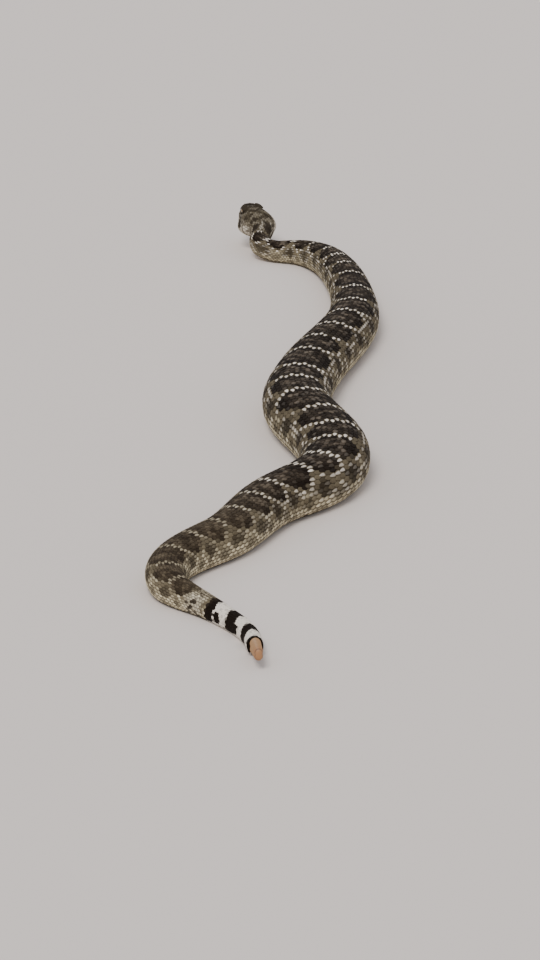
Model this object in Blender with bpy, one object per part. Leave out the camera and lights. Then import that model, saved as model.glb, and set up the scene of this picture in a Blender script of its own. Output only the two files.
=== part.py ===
"""Western diamondback rattlesnake, life size, crawling in slow curves over level ground.

Metres, Z up. The snake crawls towards +Y, with its tail end towards -Y. The body is one lofted form,
parted by thin cuts into lengths. The letter s stands for the distance along its axis, from the end of
the tail, where s is 0, to the joint of the neck and the head.
"""

import math

import bmesh
import bpy
import numpy as np
from mathutils import Matrix

# Gaps between pieces that meet face to face
GAP = 0.0004
SOCKET_GAP = 0.0003

# The axis of the body from above, from the end of the tail to the head
AXIS_POINTS = [
    (-0.0115, -0.5400),
    (-0.0155, -0.5140),
    (-0.0330, -0.4790),
    (-0.0565, -0.4485),
    (-0.0800, -0.4200),
    (-0.0835, -0.3885),
    (-0.0655, -0.3505),
    (-0.0380, -0.3165),
    (-0.0190, -0.2775),
    (0.0030, -0.2345),
    (0.0360, -0.1965),
    (0.0550, -0.1515),
    (0.0530, -0.1015),
    (0.0370, -0.0495),
    (0.0245, 0.0055),
    (0.0285, 0.0625),
    (0.0430, 0.1275),
    (0.0630, 0.1925),
    (0.0785, 0.2575),
    (0.0810, 0.3225),
    (0.0765, 0.3825),
    (0.0670, 0.4355),
    (0.0510, 0.4795),
    (0.0275, 0.5050),
    (0.0045, 0.5120),
    (-0.0089, 0.5200),
    (-0.0106, 0.5300),
    (-0.0078, 0.5395),
    (-0.0121, 0.5505),
]
AXIS_COUNT = 3000
# The last of the axis that lies inside the head, and the point over which the snake is centred
AXIS_END = 0.0115
MIDDLE = (0.00167, 0.00842)
# How the two ends leave the ground: the slope at the very end, the length of the rise and its height
NECK_PITCH = math.radians(13.5)
NECK_RISE = 0.044
NECK_LIFT = 0.0118
NECK_ROLL = math.radians(4)
TAIL_PITCH = math.radians(10)
TAIL_RISE = 0.028

# Width of the body against s, and its height as a share of its width
WIDTHS = [
    (0.000, 0.0145),
    (0.035, 0.0165),
    (0.070, 0.0188),
    (0.105, 0.0235),
    (0.140, 0.0310),
    (0.200, 0.0398),
    (0.260, 0.0450),
    (0.330, 0.0500),
    (0.410, 0.0575),
    (0.500, 0.0635),
    (0.580, 0.0640),
    (0.680, 0.0600),
    (0.780, 0.0560),
    (0.870, 0.0510),
    (0.960, 0.0430),
    (1.030, 0.0385),
    (1.080, 0.0335),
    (1.120, 0.0280),
    (1.150, 0.0235),
    (1.170, 0.0215),
    (1.200, 0.0210),
]
HEIGHT_SHARES = [
    (0.00, 0.98),
    (0.10, 0.86),
    (0.30, 0.75),
    (0.50, 0.72),
    (0.80, 0.76),
    (1.00, 0.83),
    (1.08, 0.90),
    (1.15, 0.93),
    (1.25, 0.93),
]
UPPER_SHARE = 0.54
FLAT_ANGLE = math.radians(38)
FLANK_POWER = 0.7

# Where the body is parted, as distances along the axis
CUTS = [0.105, 0.225, 0.345, 0.465, 0.585, 0.705, 0.825, 0.945, 1.065]

# Belly scutes: the wide plates that the snake rests on
SCUTE_PITCH = 0.0130
SCUTE_FLAT = 0.60
SCUTE_FRONT = 0.90
SCUTE_STEP = 0.0007
BELLY_ANGLES = [math.radians(a) for a in (-62, -44, -26, -9, 9, 26, 44, 62)]
BACK_SIDES = 13

# Head, in its own frame: X forwards from the neck joint, Y to its left, Z to its crown.
# Each row holds x, the half width, and the heights of the crown and the chin.
HEAD_ROWS = [
    (0.0000, 0.0110, 0.0103, -0.0089),
    (0.0040, 0.0124, 0.0106, -0.0098),
    (0.0080, 0.0153, 0.0113, -0.0110),
    (0.0130, 0.0186, 0.0123, -0.0119),
    (0.0180, 0.0200, 0.0130, -0.0120),
    (0.0240, 0.0194, 0.0133, -0.0113),
    (0.0300, 0.0170, 0.0131, -0.0102),
    (0.0360, 0.0142, 0.0127, -0.0091),
    (0.0410, 0.0120, 0.0116, -0.0080),
    (0.0455, 0.0101, 0.0101, -0.0068),
    (0.0490, 0.0082, 0.0083, -0.0055),
    (0.0508, 0.0060, 0.0066, -0.0040),
    (0.0516, 0.0034, 0.0044, -0.0022),
]
# The level of the widest line, the squareness of the crown, and how far the sides lean in above
HEAD_WAIST = [(0.000, 0.0000), (0.018, -0.0025), (0.036, -0.0030), (0.0516, -0.0012)]
HEAD_SQUARE = [(0.000, 2.0), (0.014, 2.1), (0.030, 2.6), (0.044, 3.2), (0.0516, 2.6)]
HEAD_LEAN = [(0.000, 0.0), (0.014, 0.10), (0.036, 0.20), (0.0516, 0.12)]
# The nape turns the head to its left of the neck's end, over the first of its length
NAPE_TURN = math.radians(25)
NAPE_LENGTH = 0.015
# The sections of the head, which stand closer together towards the snout
HEAD_STATIONS = 34
HEAD_CROWDING = 1.25
HEAD_SIDES = 36

# The line of the mouth from the lip's front to the corner of the jaw
MOUTH_LINE = [
    (0.0530, -0.0026),
    (0.0490, -0.0034),
    (0.0430, -0.0046),
    (0.0370, -0.0052),
    (0.0300, -0.0050),
    (0.0230, -0.0050),
    (0.0170, -0.0062),
    (0.0135, -0.0080),
]
JAW_HINGE_LEAN = 0.0030
LIP_SWELL = 0.0006
LIP_SPREAD = 0.0016
LIP_FADE = 0.004
# The block of space under the mouth line: its front, its half width and its level
MOUTH_BLOCK = (0.060, 0.030, -0.030)
CREASE_ANGLE = math.radians(40)

EYE_RADIUS = 0.0030
EYE_X = 0.0372
EYE_ANGLE = math.radians(33)
EYE_DEPTH = 0.0019
BROW_SIZE = (0.0056, 0.0032, 0.0014)
BROW_PLACE = (0.0366, 0.0079, 0.0104)
BROW_TURN = math.radians(-12)
BROW_TILT = math.radians(-16)
PIT_RADIUS = 0.0015
PIT_X = 0.0437
PIT_ANGLE = math.radians(9)
NOSTRIL_RADIUS = 0.0011
NOSTRIL_X = 0.0487
NOSTRIL_ANGLE = math.radians(32)

# Rattle: rings of horn, flattened from side to side, the last one rounded off
RATTLE_RINGS = 7
RATTLE_PITCH = 0.0043
RATTLE_HEIGHT = (0.0138, 0.0106)
RATTLE_WIDTH = (0.0100, 0.0078)
RATTLE_SIDES = 20
RATTLE_GROOVE = 0.16
RATTLE_GROOVE_SPREAD = 0.30
# Each ring as places along it with shares of its size, and the button that ends the rattle
RATTLE_LOBE = [(0.00, 0.77), (0.16, 0.95), (0.34, 1.00), (0.58, 0.88), (0.76, 0.92), (0.94, 0.80)]
RATTLE_BUTTON = [(0.00, 0.72), (0.22, 0.56), (0.36, 0.30)]

COLOURS = {
    "back": (0.115, 0.095, 0.070),
    "belly": (0.300, 0.270, 0.190),
    "head": (0.130, 0.110, 0.080),
    "jaw": (0.330, 0.290, 0.210),
    "tail": (0.430, 0.410, 0.370),
    "horn": (0.560, 0.340, 0.160),
    "iris": (0.240, 0.170, 0.080),
}


def clear_scene():
    """Removes whatever the file holds at the start."""
    for obj in list(bpy.data.objects):
        bpy.data.objects.remove(obj)


def material(name, colour, roughness=0.6):
    """A plain finish with its own colour."""
    made = bpy.data.materials.new(name)
    made.use_nodes = True
    shader = made.node_tree.nodes["Principled BSDF"]
    shader.inputs["Base Color"].default_value = (*colour, 1.0)
    shader.inputs["Roughness"].default_value = roughness
    shader.inputs["Metallic"].default_value = 0.0
    return made


def new_object(name, verts, faces, finish=None):
    """A named mesh object in the scene, shaded smooth."""
    mesh = bpy.data.meshes.new(name)
    mesh.from_pydata([tuple(map(float, v)) for v in verts], [], faces)
    mesh.validate()
    obj = bpy.data.objects.new(name, mesh)
    bpy.context.scene.collection.objects.link(obj)
    if finish:
        mesh.materials.append(finish)
    mesh.shade_smooth()
    return obj


def along_table(rows, x, column=1):
    """A smooth curve through the rows of a table: cubic pieces whose slopes come from the neighbours."""
    table = np.array(rows, float)
    order = np.argsort(table[:, 0])
    xs, ys = table[order, 0], table[order, column]
    slopes = np.gradient(ys, xs)
    x = np.clip(np.asarray(x, float), xs[0], xs[-1])
    k = np.clip(np.searchsorted(xs, x) - 1, 0, len(xs) - 2)
    step = xs[k + 1] - xs[k]
    t = (x - xs[k]) / step
    rise = ys[k] * (1 + 2 * t) * (1 - t) ** 2 + ys[k + 1] * t * t * (3 - 2 * t)
    return rise + step * (slopes[k] * t * (1 - t) ** 2 - slopes[k + 1] * t * t * (1 - t))


def natural_spline(points, count):
    """Points on the natural cubic spline through the given ones, by their chord lengths."""
    points = np.array(points, float)
    knots = np.r_[0, np.cumsum(np.linalg.norm(np.diff(points, axis=0), axis=1))]
    gaps = np.diff(knots)
    size = len(knots)
    system = np.eye(size)
    right = np.zeros_like(points)
    for i in range(1, size - 1):
        system[i, i - 1 : i + 2] = gaps[i - 1], 2 * (gaps[i - 1] + gaps[i]), gaps[i]
        ahead = (points[i + 1] - points[i]) / gaps[i]
        behind = (points[i] - points[i - 1]) / gaps[i - 1]
        right[i] = 6 * (ahead - behind)
    bend = np.linalg.solve(system, right)
    t = np.linspace(0, knots[-1], count)
    k = np.clip(np.searchsorted(knots, t) - 1, 0, size - 2)
    gap = gaps[k][:, None]
    before = (knots[k + 1] - t)[:, None]
    after = (t - knots[k])[:, None]
    cubic = (bend[k] * before**3 + bend[k + 1] * after**3) / (6 * gap)
    start = (points[k] / gap - bend[k] * gap / 6) * before
    end = (points[k + 1] / gap - bend[k + 1] * gap / 6) * after
    return cubic + start + end


class BodyAxis:
    """The axis of the body, with the frame of its cross-sections at any s."""

    def __init__(self):
        flat = natural_spline(AXIS_POINTS, AXIS_COUNT) - np.array(MIDDLE)
        q = np.r_[0, np.cumsum(np.linalg.norm(np.diff(flat, axis=0), axis=1))]
        keep = q <= q[-1] - AXIS_END
        flat, q = flat[keep], q[keep]
        neck = np.clip((q - q[-1] + NECK_RISE) / NECK_RISE, 0, 1)
        tail = np.maximum(TAIL_RISE - q, 0)
        lift = NECK_LIFT * neck**2 * (3 - 2 * neck) + math.tan(NECK_PITCH) * NECK_RISE * (neck**3 - neck**2)
        lift = lift + 0.5 * math.tan(TAIL_PITCH) / TAIL_RISE * tail**2
        belly = np.column_stack([flat, lift])
        self.steps = np.r_[0, np.cumsum(np.linalg.norm(np.diff(belly, axis=0), axis=1))]
        self.length = self.steps[-1]
        belly[:, 2] += self.below(self.steps)
        self.points = belly
        self.slopes = np.gradient(belly, self.steps, axis=0)

    def width(self, s):
        """Width of the section at s."""
        return along_table(WIDTHS, s)

    def above(self, s):
        """Height of the back over the axis."""
        return self.width(s) * along_table(HEIGHT_SHARES, s) * UPPER_SHARE

    def below(self, s):
        """Depth of the belly under the axis."""
        return self.width(s) * along_table(HEIGHT_SHARES, s) * (1 - UPPER_SHARE)

    def frame(self, s):
        """Centre, forward, left and up vectors at s, as rows."""
        s = np.atleast_1d(np.asarray(s, float))
        centre = np.stack([np.interp(s, self.steps, self.points[:, i]) for i in range(3)], -1)
        forward = np.stack([np.interp(s, self.steps, self.slopes[:, i]) for i in range(3)], -1)
        forward /= np.linalg.norm(forward, axis=1)[:, None]
        left = np.cross([0.0, 0.0, 1.0], forward)
        left /= np.linalg.norm(left, axis=1)[:, None]
        up = np.cross(forward, left)
        turn = NECK_ROLL * np.clip((s - (self.length - NECK_RISE)) / NECK_RISE, 0, 1)[:, None]
        return (
            centre,
            forward,
            left * np.cos(turn) + up * np.sin(turn),
            up * np.cos(turn) - left * np.sin(turn),
        )

    def ring(self, s, angles, tuck=0.0):
        """Points of the section at s. An angle is 0 at the middle of the belly and grows to the right side.

        The back is half an ellipse. The belly is flat up to FLAT_ANGLE and curves up into the flank.
        tuck lifts the belly into the body by that much, except at its two edges.
        """
        centre, _, left, up = self.frame(s)
        side = np.sin(angles)
        drop = np.cos(angles)
        flank = np.minimum(1.0, (np.maximum(drop, 0) / math.cos(FLAT_ANGLE))) ** FLANK_POWER
        height = np.where(drop > 0, -self.below(s) * flank, -self.above(s) * drop)
        height = height + tuck * (np.abs(angles) < BELLY_ANGLES[-1] - 0.01)
        return centre - left * (self.width(s) / 2 * side)[:, None] + up * height[:, None]


def body_length(axis, name, start, end, finish):
    """A length of the body from start to end, with raised scutes along its belly.

    Each scute has three rings on the belly: its free rear edge, the end of its flat, and its front,
    which is tucked under the free edge of the next. The back has one ring for each scute.
    """
    count = max(1, round((end - start) / SCUTE_PITCH))
    pitch = (end - start) / count
    first, last = BELLY_ANGLES[-1], 2 * math.pi + BELLY_ANGLES[0]
    back_angles = np.linspace(first, last, BACK_SIDES + 1)[1:-1]
    angles = np.r_[BELLY_ANGLES, back_angles]
    belly = len(BELLY_ANGLES)
    verts, faces, full, partial = [], [], [], []

    def add(points):
        verts.extend(points)
        return list(range(len(verts) - len(points), len(verts)))

    for k in range(count + 1):
        s = start + k * pitch
        full.append(add(axis.ring(s, angles)))
        if k == count:
            break
        flat_end = axis.ring(s + SCUTE_FLAT * pitch, angles[:belly])
        front = axis.ring(s + SCUTE_FRONT * pitch, angles[:belly], tuck=SCUTE_STEP)
        partial.append([add(flat_end), add(front)])
    around = len(angles)
    for k in range(count):
        rows = [full[k][:belly], *partial[k], full[k + 1][:belly]]
        for low, high in zip(rows, rows[1:]):
            for j in range(belly - 1):
                faces.append((low[j], low[j + 1], high[j + 1], high[j]))
        low, high = full[k], full[k + 1]
        for j in range(belly, around - 1):
            faces.append((low[j], low[j + 1], high[j + 1], high[j]))
        a, b = partial[k]
        right = belly - 1
        faces.append(
            (low[right], low[belly], high[belly], high[right], b[right], a[right])
        )
        faces.append((low[-1], low[0], a[0], b[0], high[0], high[-1]))
    faces.append(tuple(reversed(full[0])))
    faces.append(tuple(full[-1]))
    return outward(new_object(name, verts, faces, finish))


def head_ring(x, angles):
    """Points of the head's section at x, in the head's frame. An angle is 0 at its left side and a
    quarter turn at the crown.

    Above the waist the section is a rounded box whose sides lean in, and below it an ellipse. The
    lip swells a little over the line of the mouth.
    """
    half = along_table(HEAD_ROWS, x, 1)
    crown = along_table(HEAD_ROWS, x, 2)
    chin = along_table(HEAD_ROWS, x, 3)
    waist = along_table(HEAD_WAIST, x)
    square = along_table(HEAD_SQUARE, x)
    lean = along_table(HEAD_LEAN, x)
    c, s = np.cos(angles), np.sin(angles)
    power = np.where(s > 0, 2 / square, 1.0)
    across = np.sign(c) * np.abs(c) ** power
    rise = np.sign(s) * np.abs(s) ** power
    y = half * across * (1 - lean * np.maximum(rise, 0))
    z = waist + np.where(s > 0, (crown - waist) * rise, (waist - chin) * rise)
    over_lip = (z - along_table(MOUTH_LINE, x) - LIP_SPREAD) / LIP_SPREAD
    swell = LIP_SWELL * np.exp(-over_lip**2) * np.clip((x - MOUTH_LINE[-1][0]) / LIP_FADE, 0, 1)
    return np.column_stack([np.full_like(y, x), y + np.sign(c) * swell, z])


def nape_turn(x):
    """Angle from the head's axis to the axis of the nape at x."""
    return -NAPE_TURN * np.maximum(1 - np.asarray(x) / NAPE_LENGTH, 0) ** 2


def nape_bend(points):
    """Bends the rear of the head, given as points in its straight frame, to meet the neck."""
    x = points[:, 0]
    steps = np.linspace(0, NAPE_LENGTH, 200)
    run = np.r_[0, np.cumsum(np.diff(steps) * np.cos((nape_turn(steps[1:]) + nape_turn(steps[:-1])) / 2))]
    side = np.r_[0, np.cumsum(np.diff(steps) * np.sin((nape_turn(steps[1:]) + nape_turn(steps[:-1])) / 2))]
    inside = np.minimum(x, NAPE_LENGTH)
    turn = nape_turn(x)
    cx = np.interp(inside, steps, run) - run[-1] + NAPE_LENGTH + x - inside
    cy = np.interp(inside, steps, side) - side[-1]
    bent = points.copy()
    bent[:, 0] = cx - points[:, 1] * np.sin(turn)
    bent[:, 1] = cy + points[:, 1] * np.cos(turn)
    return bent


def loft(rings):
    """Vertices and faces of a closed form through rings of equally many points, with flat ends."""
    sides = len(rings[0])
    verts = np.concatenate(rings)
    faces = []
    for i in range(len(rings) - 1):
        for j in range(sides):
            a, b = i * sides + j, i * sides + (j + 1) % sides
            faces.append((a, b, b + sides, a + sides))
    faces.append(tuple(reversed(range(sides))))
    faces.append(tuple(range(len(verts) - sides, len(verts))))
    return verts, faces


def round_turn(sides):
    """Equal angles once round."""
    return np.linspace(0, 2 * math.pi, sides, endpoint=False)


def outward(obj):
    """Turns the faces of a closed mesh to point out."""
    work = bmesh.new()
    work.from_mesh(obj.data)
    bmesh.ops.recalc_face_normals(work, faces=work.faces)
    work.to_mesh(obj.data)
    work.free()
    return obj


def ball(name, radius, centre, scale=(1, 1, 1), turn=None, segments=20, rings=12, finish=None):
    """A closed ball or ellipsoid at centre."""
    work = bmesh.new()
    bmesh.ops.create_uvsphere(work, u_segments=segments, v_segments=rings, radius=radius)
    place = Matrix.Translation(centre) @ (turn or Matrix.Identity(4)) @ Matrix.Diagonal((*scale, 1))
    bmesh.ops.transform(work, matrix=place, verts=work.verts)
    mesh = bpy.data.meshes.new(name)
    work.to_mesh(mesh)
    work.free()
    obj = bpy.data.objects.new(name, mesh)
    bpy.context.scene.collection.objects.link(obj)
    if finish:
        mesh.materials.append(finish)
    mesh.shade_smooth()
    return obj


def apply_boolean(obj, operation, others):
    """Joins or cuts obj with closed meshes, applies the result and removes them."""
    group = bpy.data.collections.new("boolean_parts")
    for other in others:
        group.objects.link(other)
    change = obj.modifiers.new(operation.lower(), "BOOLEAN")
    change.operation = operation
    change.operand_type = "COLLECTION"
    change.collection = group
    change.solver = "EXACT"
    graph = bpy.context.evaluated_depsgraph_get()
    mesh = bpy.data.meshes.new_from_object(obj.evaluated_get(graph))
    obj.modifiers.clear()
    obj.data = mesh
    for other in others:
        bpy.data.objects.remove(other)
    bpy.data.collections.remove(group)


def keep_largest(obj):
    """Keeps only the largest closed surface of a mesh."""
    work = bmesh.new()
    work.from_mesh(obj.data)
    bmesh.ops.triangulate(work, faces=work.faces)
    left = set(work.faces)
    islands = []
    while left:
        stack = [left.pop()]
        island = list(stack)
        while stack:
            face = stack.pop()
            near = {f for edge in face.edges for f in edge.link_faces} & left
            left -= near
            stack.extend(near)
            island.extend(near)
        islands.append(island)
    islands.sort(key=lambda island: sum(face.calc_area() for face in island))
    for island in islands[:-1]:
        loose = {v for face in island for v in face.verts}
        bmesh.ops.delete(work, geom=list(loose), context="VERTS")
    work.to_mesh(obj.data)
    work.free()


def surface_point(x, angle):
    """A point on the head's skin."""
    return head_ring(x, np.array([angle]))[0]


def mirrored(point, side):
    """The point on the left (side 1) or on the right (side -1)."""
    return (point[0], point[1] * side, point[2])


def whole_head(name, finish=None):
    """The head with its lower jaw, before they are parted."""
    stations = np.linspace(0, 1, HEAD_STATIONS)
    xs = HEAD_ROWS[-1][0] * (1 - (1 - stations) ** HEAD_CROWDING) + GAP / 2 * (1 - stations)
    verts, faces = loft([nape_bend(head_ring(x, round_turn(HEAD_SIDES))) for x in xs])
    return outward(new_object(name, verts, faces, finish))


def jaw_block(name, drop):
    """The space under the mouth line, from the corner of the jaw to past the chin.

    drop lowers its upper face and moves its rear face forwards, which leaves the gap.
    """
    front, wide, deep = MOUTH_BLOCK
    line = [(x + drop * 0.5, z - drop) for x, z in MOUTH_LINE]
    line[0] = (front, line[0][1])
    back_x = line[-1][0]
    outline = [*line, (back_x - JAW_HINGE_LEAN + drop, deep), (front, deep)]
    verts = [(x, -wide, z) for x, z in outline] + [(x, wide, z) for x, z in outline]
    size = len(outline)
    faces = [tuple(range(size)), tuple(reversed(range(size, 2 * size)))]
    for i in range(size):
        j = (i + 1) % size
        faces.append((i, j, j + size, i + size))
    return outward(new_object(name, verts, faces))


def brow(name, side):
    """The large plate over an eye, which overhangs it as a ridge."""
    turn = Matrix.Rotation(side * BROW_TURN, 4, "Z") @ Matrix.Rotation(side * BROW_TILT, 4, "X")
    place = mirrored(BROW_PLACE, side)
    return ball(name, 1.0, place, BROW_SIZE, turn, segments=18, rings=8)


def make_head(place, head_finish, jaw_finish, eye_finish):
    """Head, lower jaw and eyes, set on the end of the neck by the matrix place."""
    head = whole_head("head", head_finish)
    jaw = whole_head("lower_jaw", jaw_finish)
    apply_boolean(head, "UNION", [brow("brow_l", 1), brow("brow_r", -1)])
    cutters = [jaw_block("mouth_cut", 0.0)]
    eyes = []
    for side, word in ((1, "left"), (-1, "right")):
        spot = surface_point(EYE_X, EYE_ANGLE)
        centre = mirrored((spot[0], spot[1] - EYE_DEPTH, spot[2]), side)
        eyes.append(ball(f"eye_{word}", EYE_RADIUS, centre, segments=24, rings=14, finish=eye_finish))
        cutters.append(ball(f"socket_{word}", EYE_RADIUS + SOCKET_GAP, centre))
        pit = mirrored(surface_point(PIT_X, PIT_ANGLE), side)
        cutters.append(ball(f"pit_{word}", PIT_RADIUS, pit, segments=14, rings=9))
        nostril = mirrored(surface_point(NOSTRIL_X, NOSTRIL_ANGLE), side)
        cutters.append(ball(f"nostril_{word}", NOSTRIL_RADIUS, nostril, segments=12, rings=7))
    apply_boolean(head, "DIFFERENCE", cutters)
    apply_boolean(jaw, "INTERSECT", [jaw_block("mouth_space", SOCKET_GAP)])
    for obj in (head, jaw):
        keep_largest(obj)
        obj.data.shade_smooth()
        obj.data.set_sharp_from_angle(angle=CREASE_ANGLE)
    for obj in (head, jaw, *eyes):
        obj.parent = place


def rattle_ring(x, scale, share):
    """A section of the rattle at x: an upright oval with a groove along each side."""
    angles = round_turn(RATTLE_SIDES)
    wide = (RATTLE_WIDTH[0] + (RATTLE_WIDTH[1] - RATTLE_WIDTH[0]) * share) / 2
    tall = (RATTLE_HEIGHT[0] + (RATTLE_HEIGHT[1] - RATTLE_HEIGHT[0]) * share) / 2
    groove = 1 - RATTLE_GROOVE * np.exp(-((np.sin(angles) / RATTLE_GROOVE_SPREAD) ** 2))
    y = wide * scale * groove * np.cos(angles)
    z = tall * scale * np.sin(angles)
    return np.column_stack([np.full_like(y, x), y, z])


def make_rattle(place, finish):
    """The rattle, as one horn form whose rings bulge and pinch, set on the tail's end."""
    rings = []
    total = RATTLE_RINGS * RATTLE_PITCH
    for k in range(RATTLE_RINGS):
        for part, scale in RATTLE_LOBE:
            x = (k + part) * RATTLE_PITCH
            rings.append(rattle_ring(x + GAP, scale, x / total))
    for part, scale in RATTLE_BUTTON:
        rings.append(rattle_ring(total + GAP + part * RATTLE_PITCH, scale, 1.0))
    verts, faces = loft(rings)
    rattle = outward(new_object("rattle", verts, faces, finish))
    rattle.parent = place


def empty(name, origin, forward, left, up):
    """An empty whose axes are the given vectors."""
    made = bpy.data.objects.new(name, None)
    bpy.context.scene.collection.objects.link(made)
    made.empty_display_size = 0.02
    turn = Matrix([[float(v[i]) for v in (forward, left, up)] for i in range(3)]).to_4x4()
    made.matrix_world = Matrix.Translation(tuple(map(float, origin))) @ turn
    return made


def main():
    """Builds the snake from tail to head."""
    clear_scene()
    axis = BodyAxis()
    back = material("skin_back", COLOURS["back"])
    tail_finish = material("skin_tail", COLOURS["tail"])
    ends = [0.0, *CUTS, axis.length]
    names = ["tail", *[f"body_{k}" for k in range(len(CUTS) - 1, 0, -1)], "neck"]
    for name, start, end in zip(names, ends, ends[1:]):
        finish = tail_finish if name == "tail" else back
        body_length(axis, name, start + GAP / 2, end - GAP / 2, finish)

    joint = nape_bend(np.zeros((1, 3)))[0]
    turn = float(nape_turn(0.0))
    centre, forward, left, up = (v[0] for v in axis.frame(axis.length))
    ahead = forward * math.cos(turn) - left * math.sin(turn)
    aside = left * math.cos(turn) + forward * math.sin(turn)
    origin = centre - ahead * joint[0] - aside * joint[1]
    head_place = empty("head_place", origin, ahead, aside, up)
    make_head(
        head_place,
        material("skin_head", COLOURS["head"]),
        material("skin_jaw", COLOURS["jaw"]),
        material("eye", COLOURS["iris"], roughness=0.15),
    )
    centre, forward, left, up = (v[0] for v in axis.frame(0.0))
    tail_place = empty("tail_place", centre, -forward, -left, up)
    make_rattle(tail_place, material("horn", COLOURS["horn"], roughness=0.45))


main()
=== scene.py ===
"""Visual model of a western diamondback rattlesnake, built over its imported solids.

A single skin follows the body and the head. Overlapping scales, plates, eyes and the rattle are
separate closed meshes on it. Every surface is a function of two numbers: q, the distance along the
snake from the end of its tail to its snout, and f, the way round it, which is 0 along the middle of
the back, 1 on the left at the edge of the belly or the line of the mouth, 2 along the middle of the
belly, and the same on the right with a minus sign.
"""

import logging
import math
from dataclasses import dataclass, field
from enum import Enum

import bpy
import numpy as np
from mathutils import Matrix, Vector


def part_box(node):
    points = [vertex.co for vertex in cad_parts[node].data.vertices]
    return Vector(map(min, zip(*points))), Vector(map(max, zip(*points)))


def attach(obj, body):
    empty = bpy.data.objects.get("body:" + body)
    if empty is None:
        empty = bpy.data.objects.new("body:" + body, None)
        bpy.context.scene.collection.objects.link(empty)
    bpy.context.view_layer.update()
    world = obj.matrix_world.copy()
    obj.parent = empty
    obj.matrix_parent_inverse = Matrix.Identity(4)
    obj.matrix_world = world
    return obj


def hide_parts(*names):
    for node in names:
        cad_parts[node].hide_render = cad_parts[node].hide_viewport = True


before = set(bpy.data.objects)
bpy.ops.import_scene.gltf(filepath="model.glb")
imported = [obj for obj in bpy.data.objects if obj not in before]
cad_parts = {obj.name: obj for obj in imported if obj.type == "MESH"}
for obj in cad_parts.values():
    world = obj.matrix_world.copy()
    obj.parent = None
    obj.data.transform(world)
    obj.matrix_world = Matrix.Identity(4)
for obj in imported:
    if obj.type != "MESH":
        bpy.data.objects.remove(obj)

LOG = logging.getLogger("rattlesnake")
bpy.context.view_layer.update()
SEED = 11
MM = 0.001

Array = np.ndarray
Masks = dict[str, Array]
Point = tuple[float, float, float]
Colour = tuple[float, float, float]
Table = tuple[tuple[float, ...], ...]


def smooth_step(low: float | Array, high: float | Array, x: Array) -> Array:
    """Rises from 0 at low to 1 at high, with level ends."""
    t = np.clip((x - low) / (high - low), 0.0, 1.0)
    return t * t * (3.0 - 2.0 * t)


def bump(x: Array, width: float | Array) -> Array:
    """A bell of height 1 round x = 0."""
    return np.exp(-((x / width) ** 2))


def along_table(rows: Table, x: Array, column: int = 1) -> Array:
    """A smooth curve through the rows of a table.

    Args:
        rows: rows whose first number is the place and whose others are values there.
        x: places to read.
        column: which value to read.

    Returns:
        The value at each place, from cubic pieces whose slopes come from the neighbouring rows.
    """
    table = np.array(rows, float)
    table = table[np.argsort(table[:, 0])]
    xs, ys = table[:, 0], table[:, column]
    slopes = np.gradient(ys, xs)
    x = np.clip(np.asarray(x, float), xs[0], xs[-1])
    k = np.clip(np.searchsorted(xs, x) - 1, 0, len(xs) - 2)
    step = xs[k + 1] - xs[k]
    t = (x - xs[k]) / step
    level = ys[k] * (1 + 2 * t) * (1 - t) ** 2 + ys[k + 1] * t * t * (3 - 2 * t)
    return level + step * (slopes[k] * t * (1 - t) ** 2 - slopes[k + 1] * t * t * (1 - t))


def natural_spline(points: Array, count: int) -> Array:
    """Evenly spaced parameters on the natural cubic spline through points, by their chord lengths."""
    knots = np.r_[0, np.cumsum(np.linalg.norm(np.diff(points, axis=0), axis=1))]
    gaps = np.diff(knots)
    size = len(knots)
    system = np.eye(size)
    inner = np.arange(1, size - 1)
    system[inner, inner - 1] = gaps[:-1]
    system[inner, inner] = 2 * (gaps[:-1] + gaps[1:])
    system[inner, inner + 1] = gaps[1:]
    right = np.zeros_like(points)
    right[1:-1] = 6 * np.diff(np.diff(points, axis=0) / gaps[:, None], axis=0)
    bend = np.linalg.solve(system, right)
    t = np.linspace(0, knots[-1], count)
    k = np.clip(np.searchsorted(knots, t) - 1, 0, size - 2)
    gap = gaps[k][:, None]
    before = (knots[k + 1] - t)[:, None]
    after = (t - knots[k])[:, None]
    cubic = (bend[k] * before**3 + bend[k + 1] * after**3) / (6 * gap)
    start = (points[k] / gap - bend[k] * gap / 6) * before
    end = (points[k + 1] / gap - bend[k + 1] * gap / 6) * after
    return cubic + start + end


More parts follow.
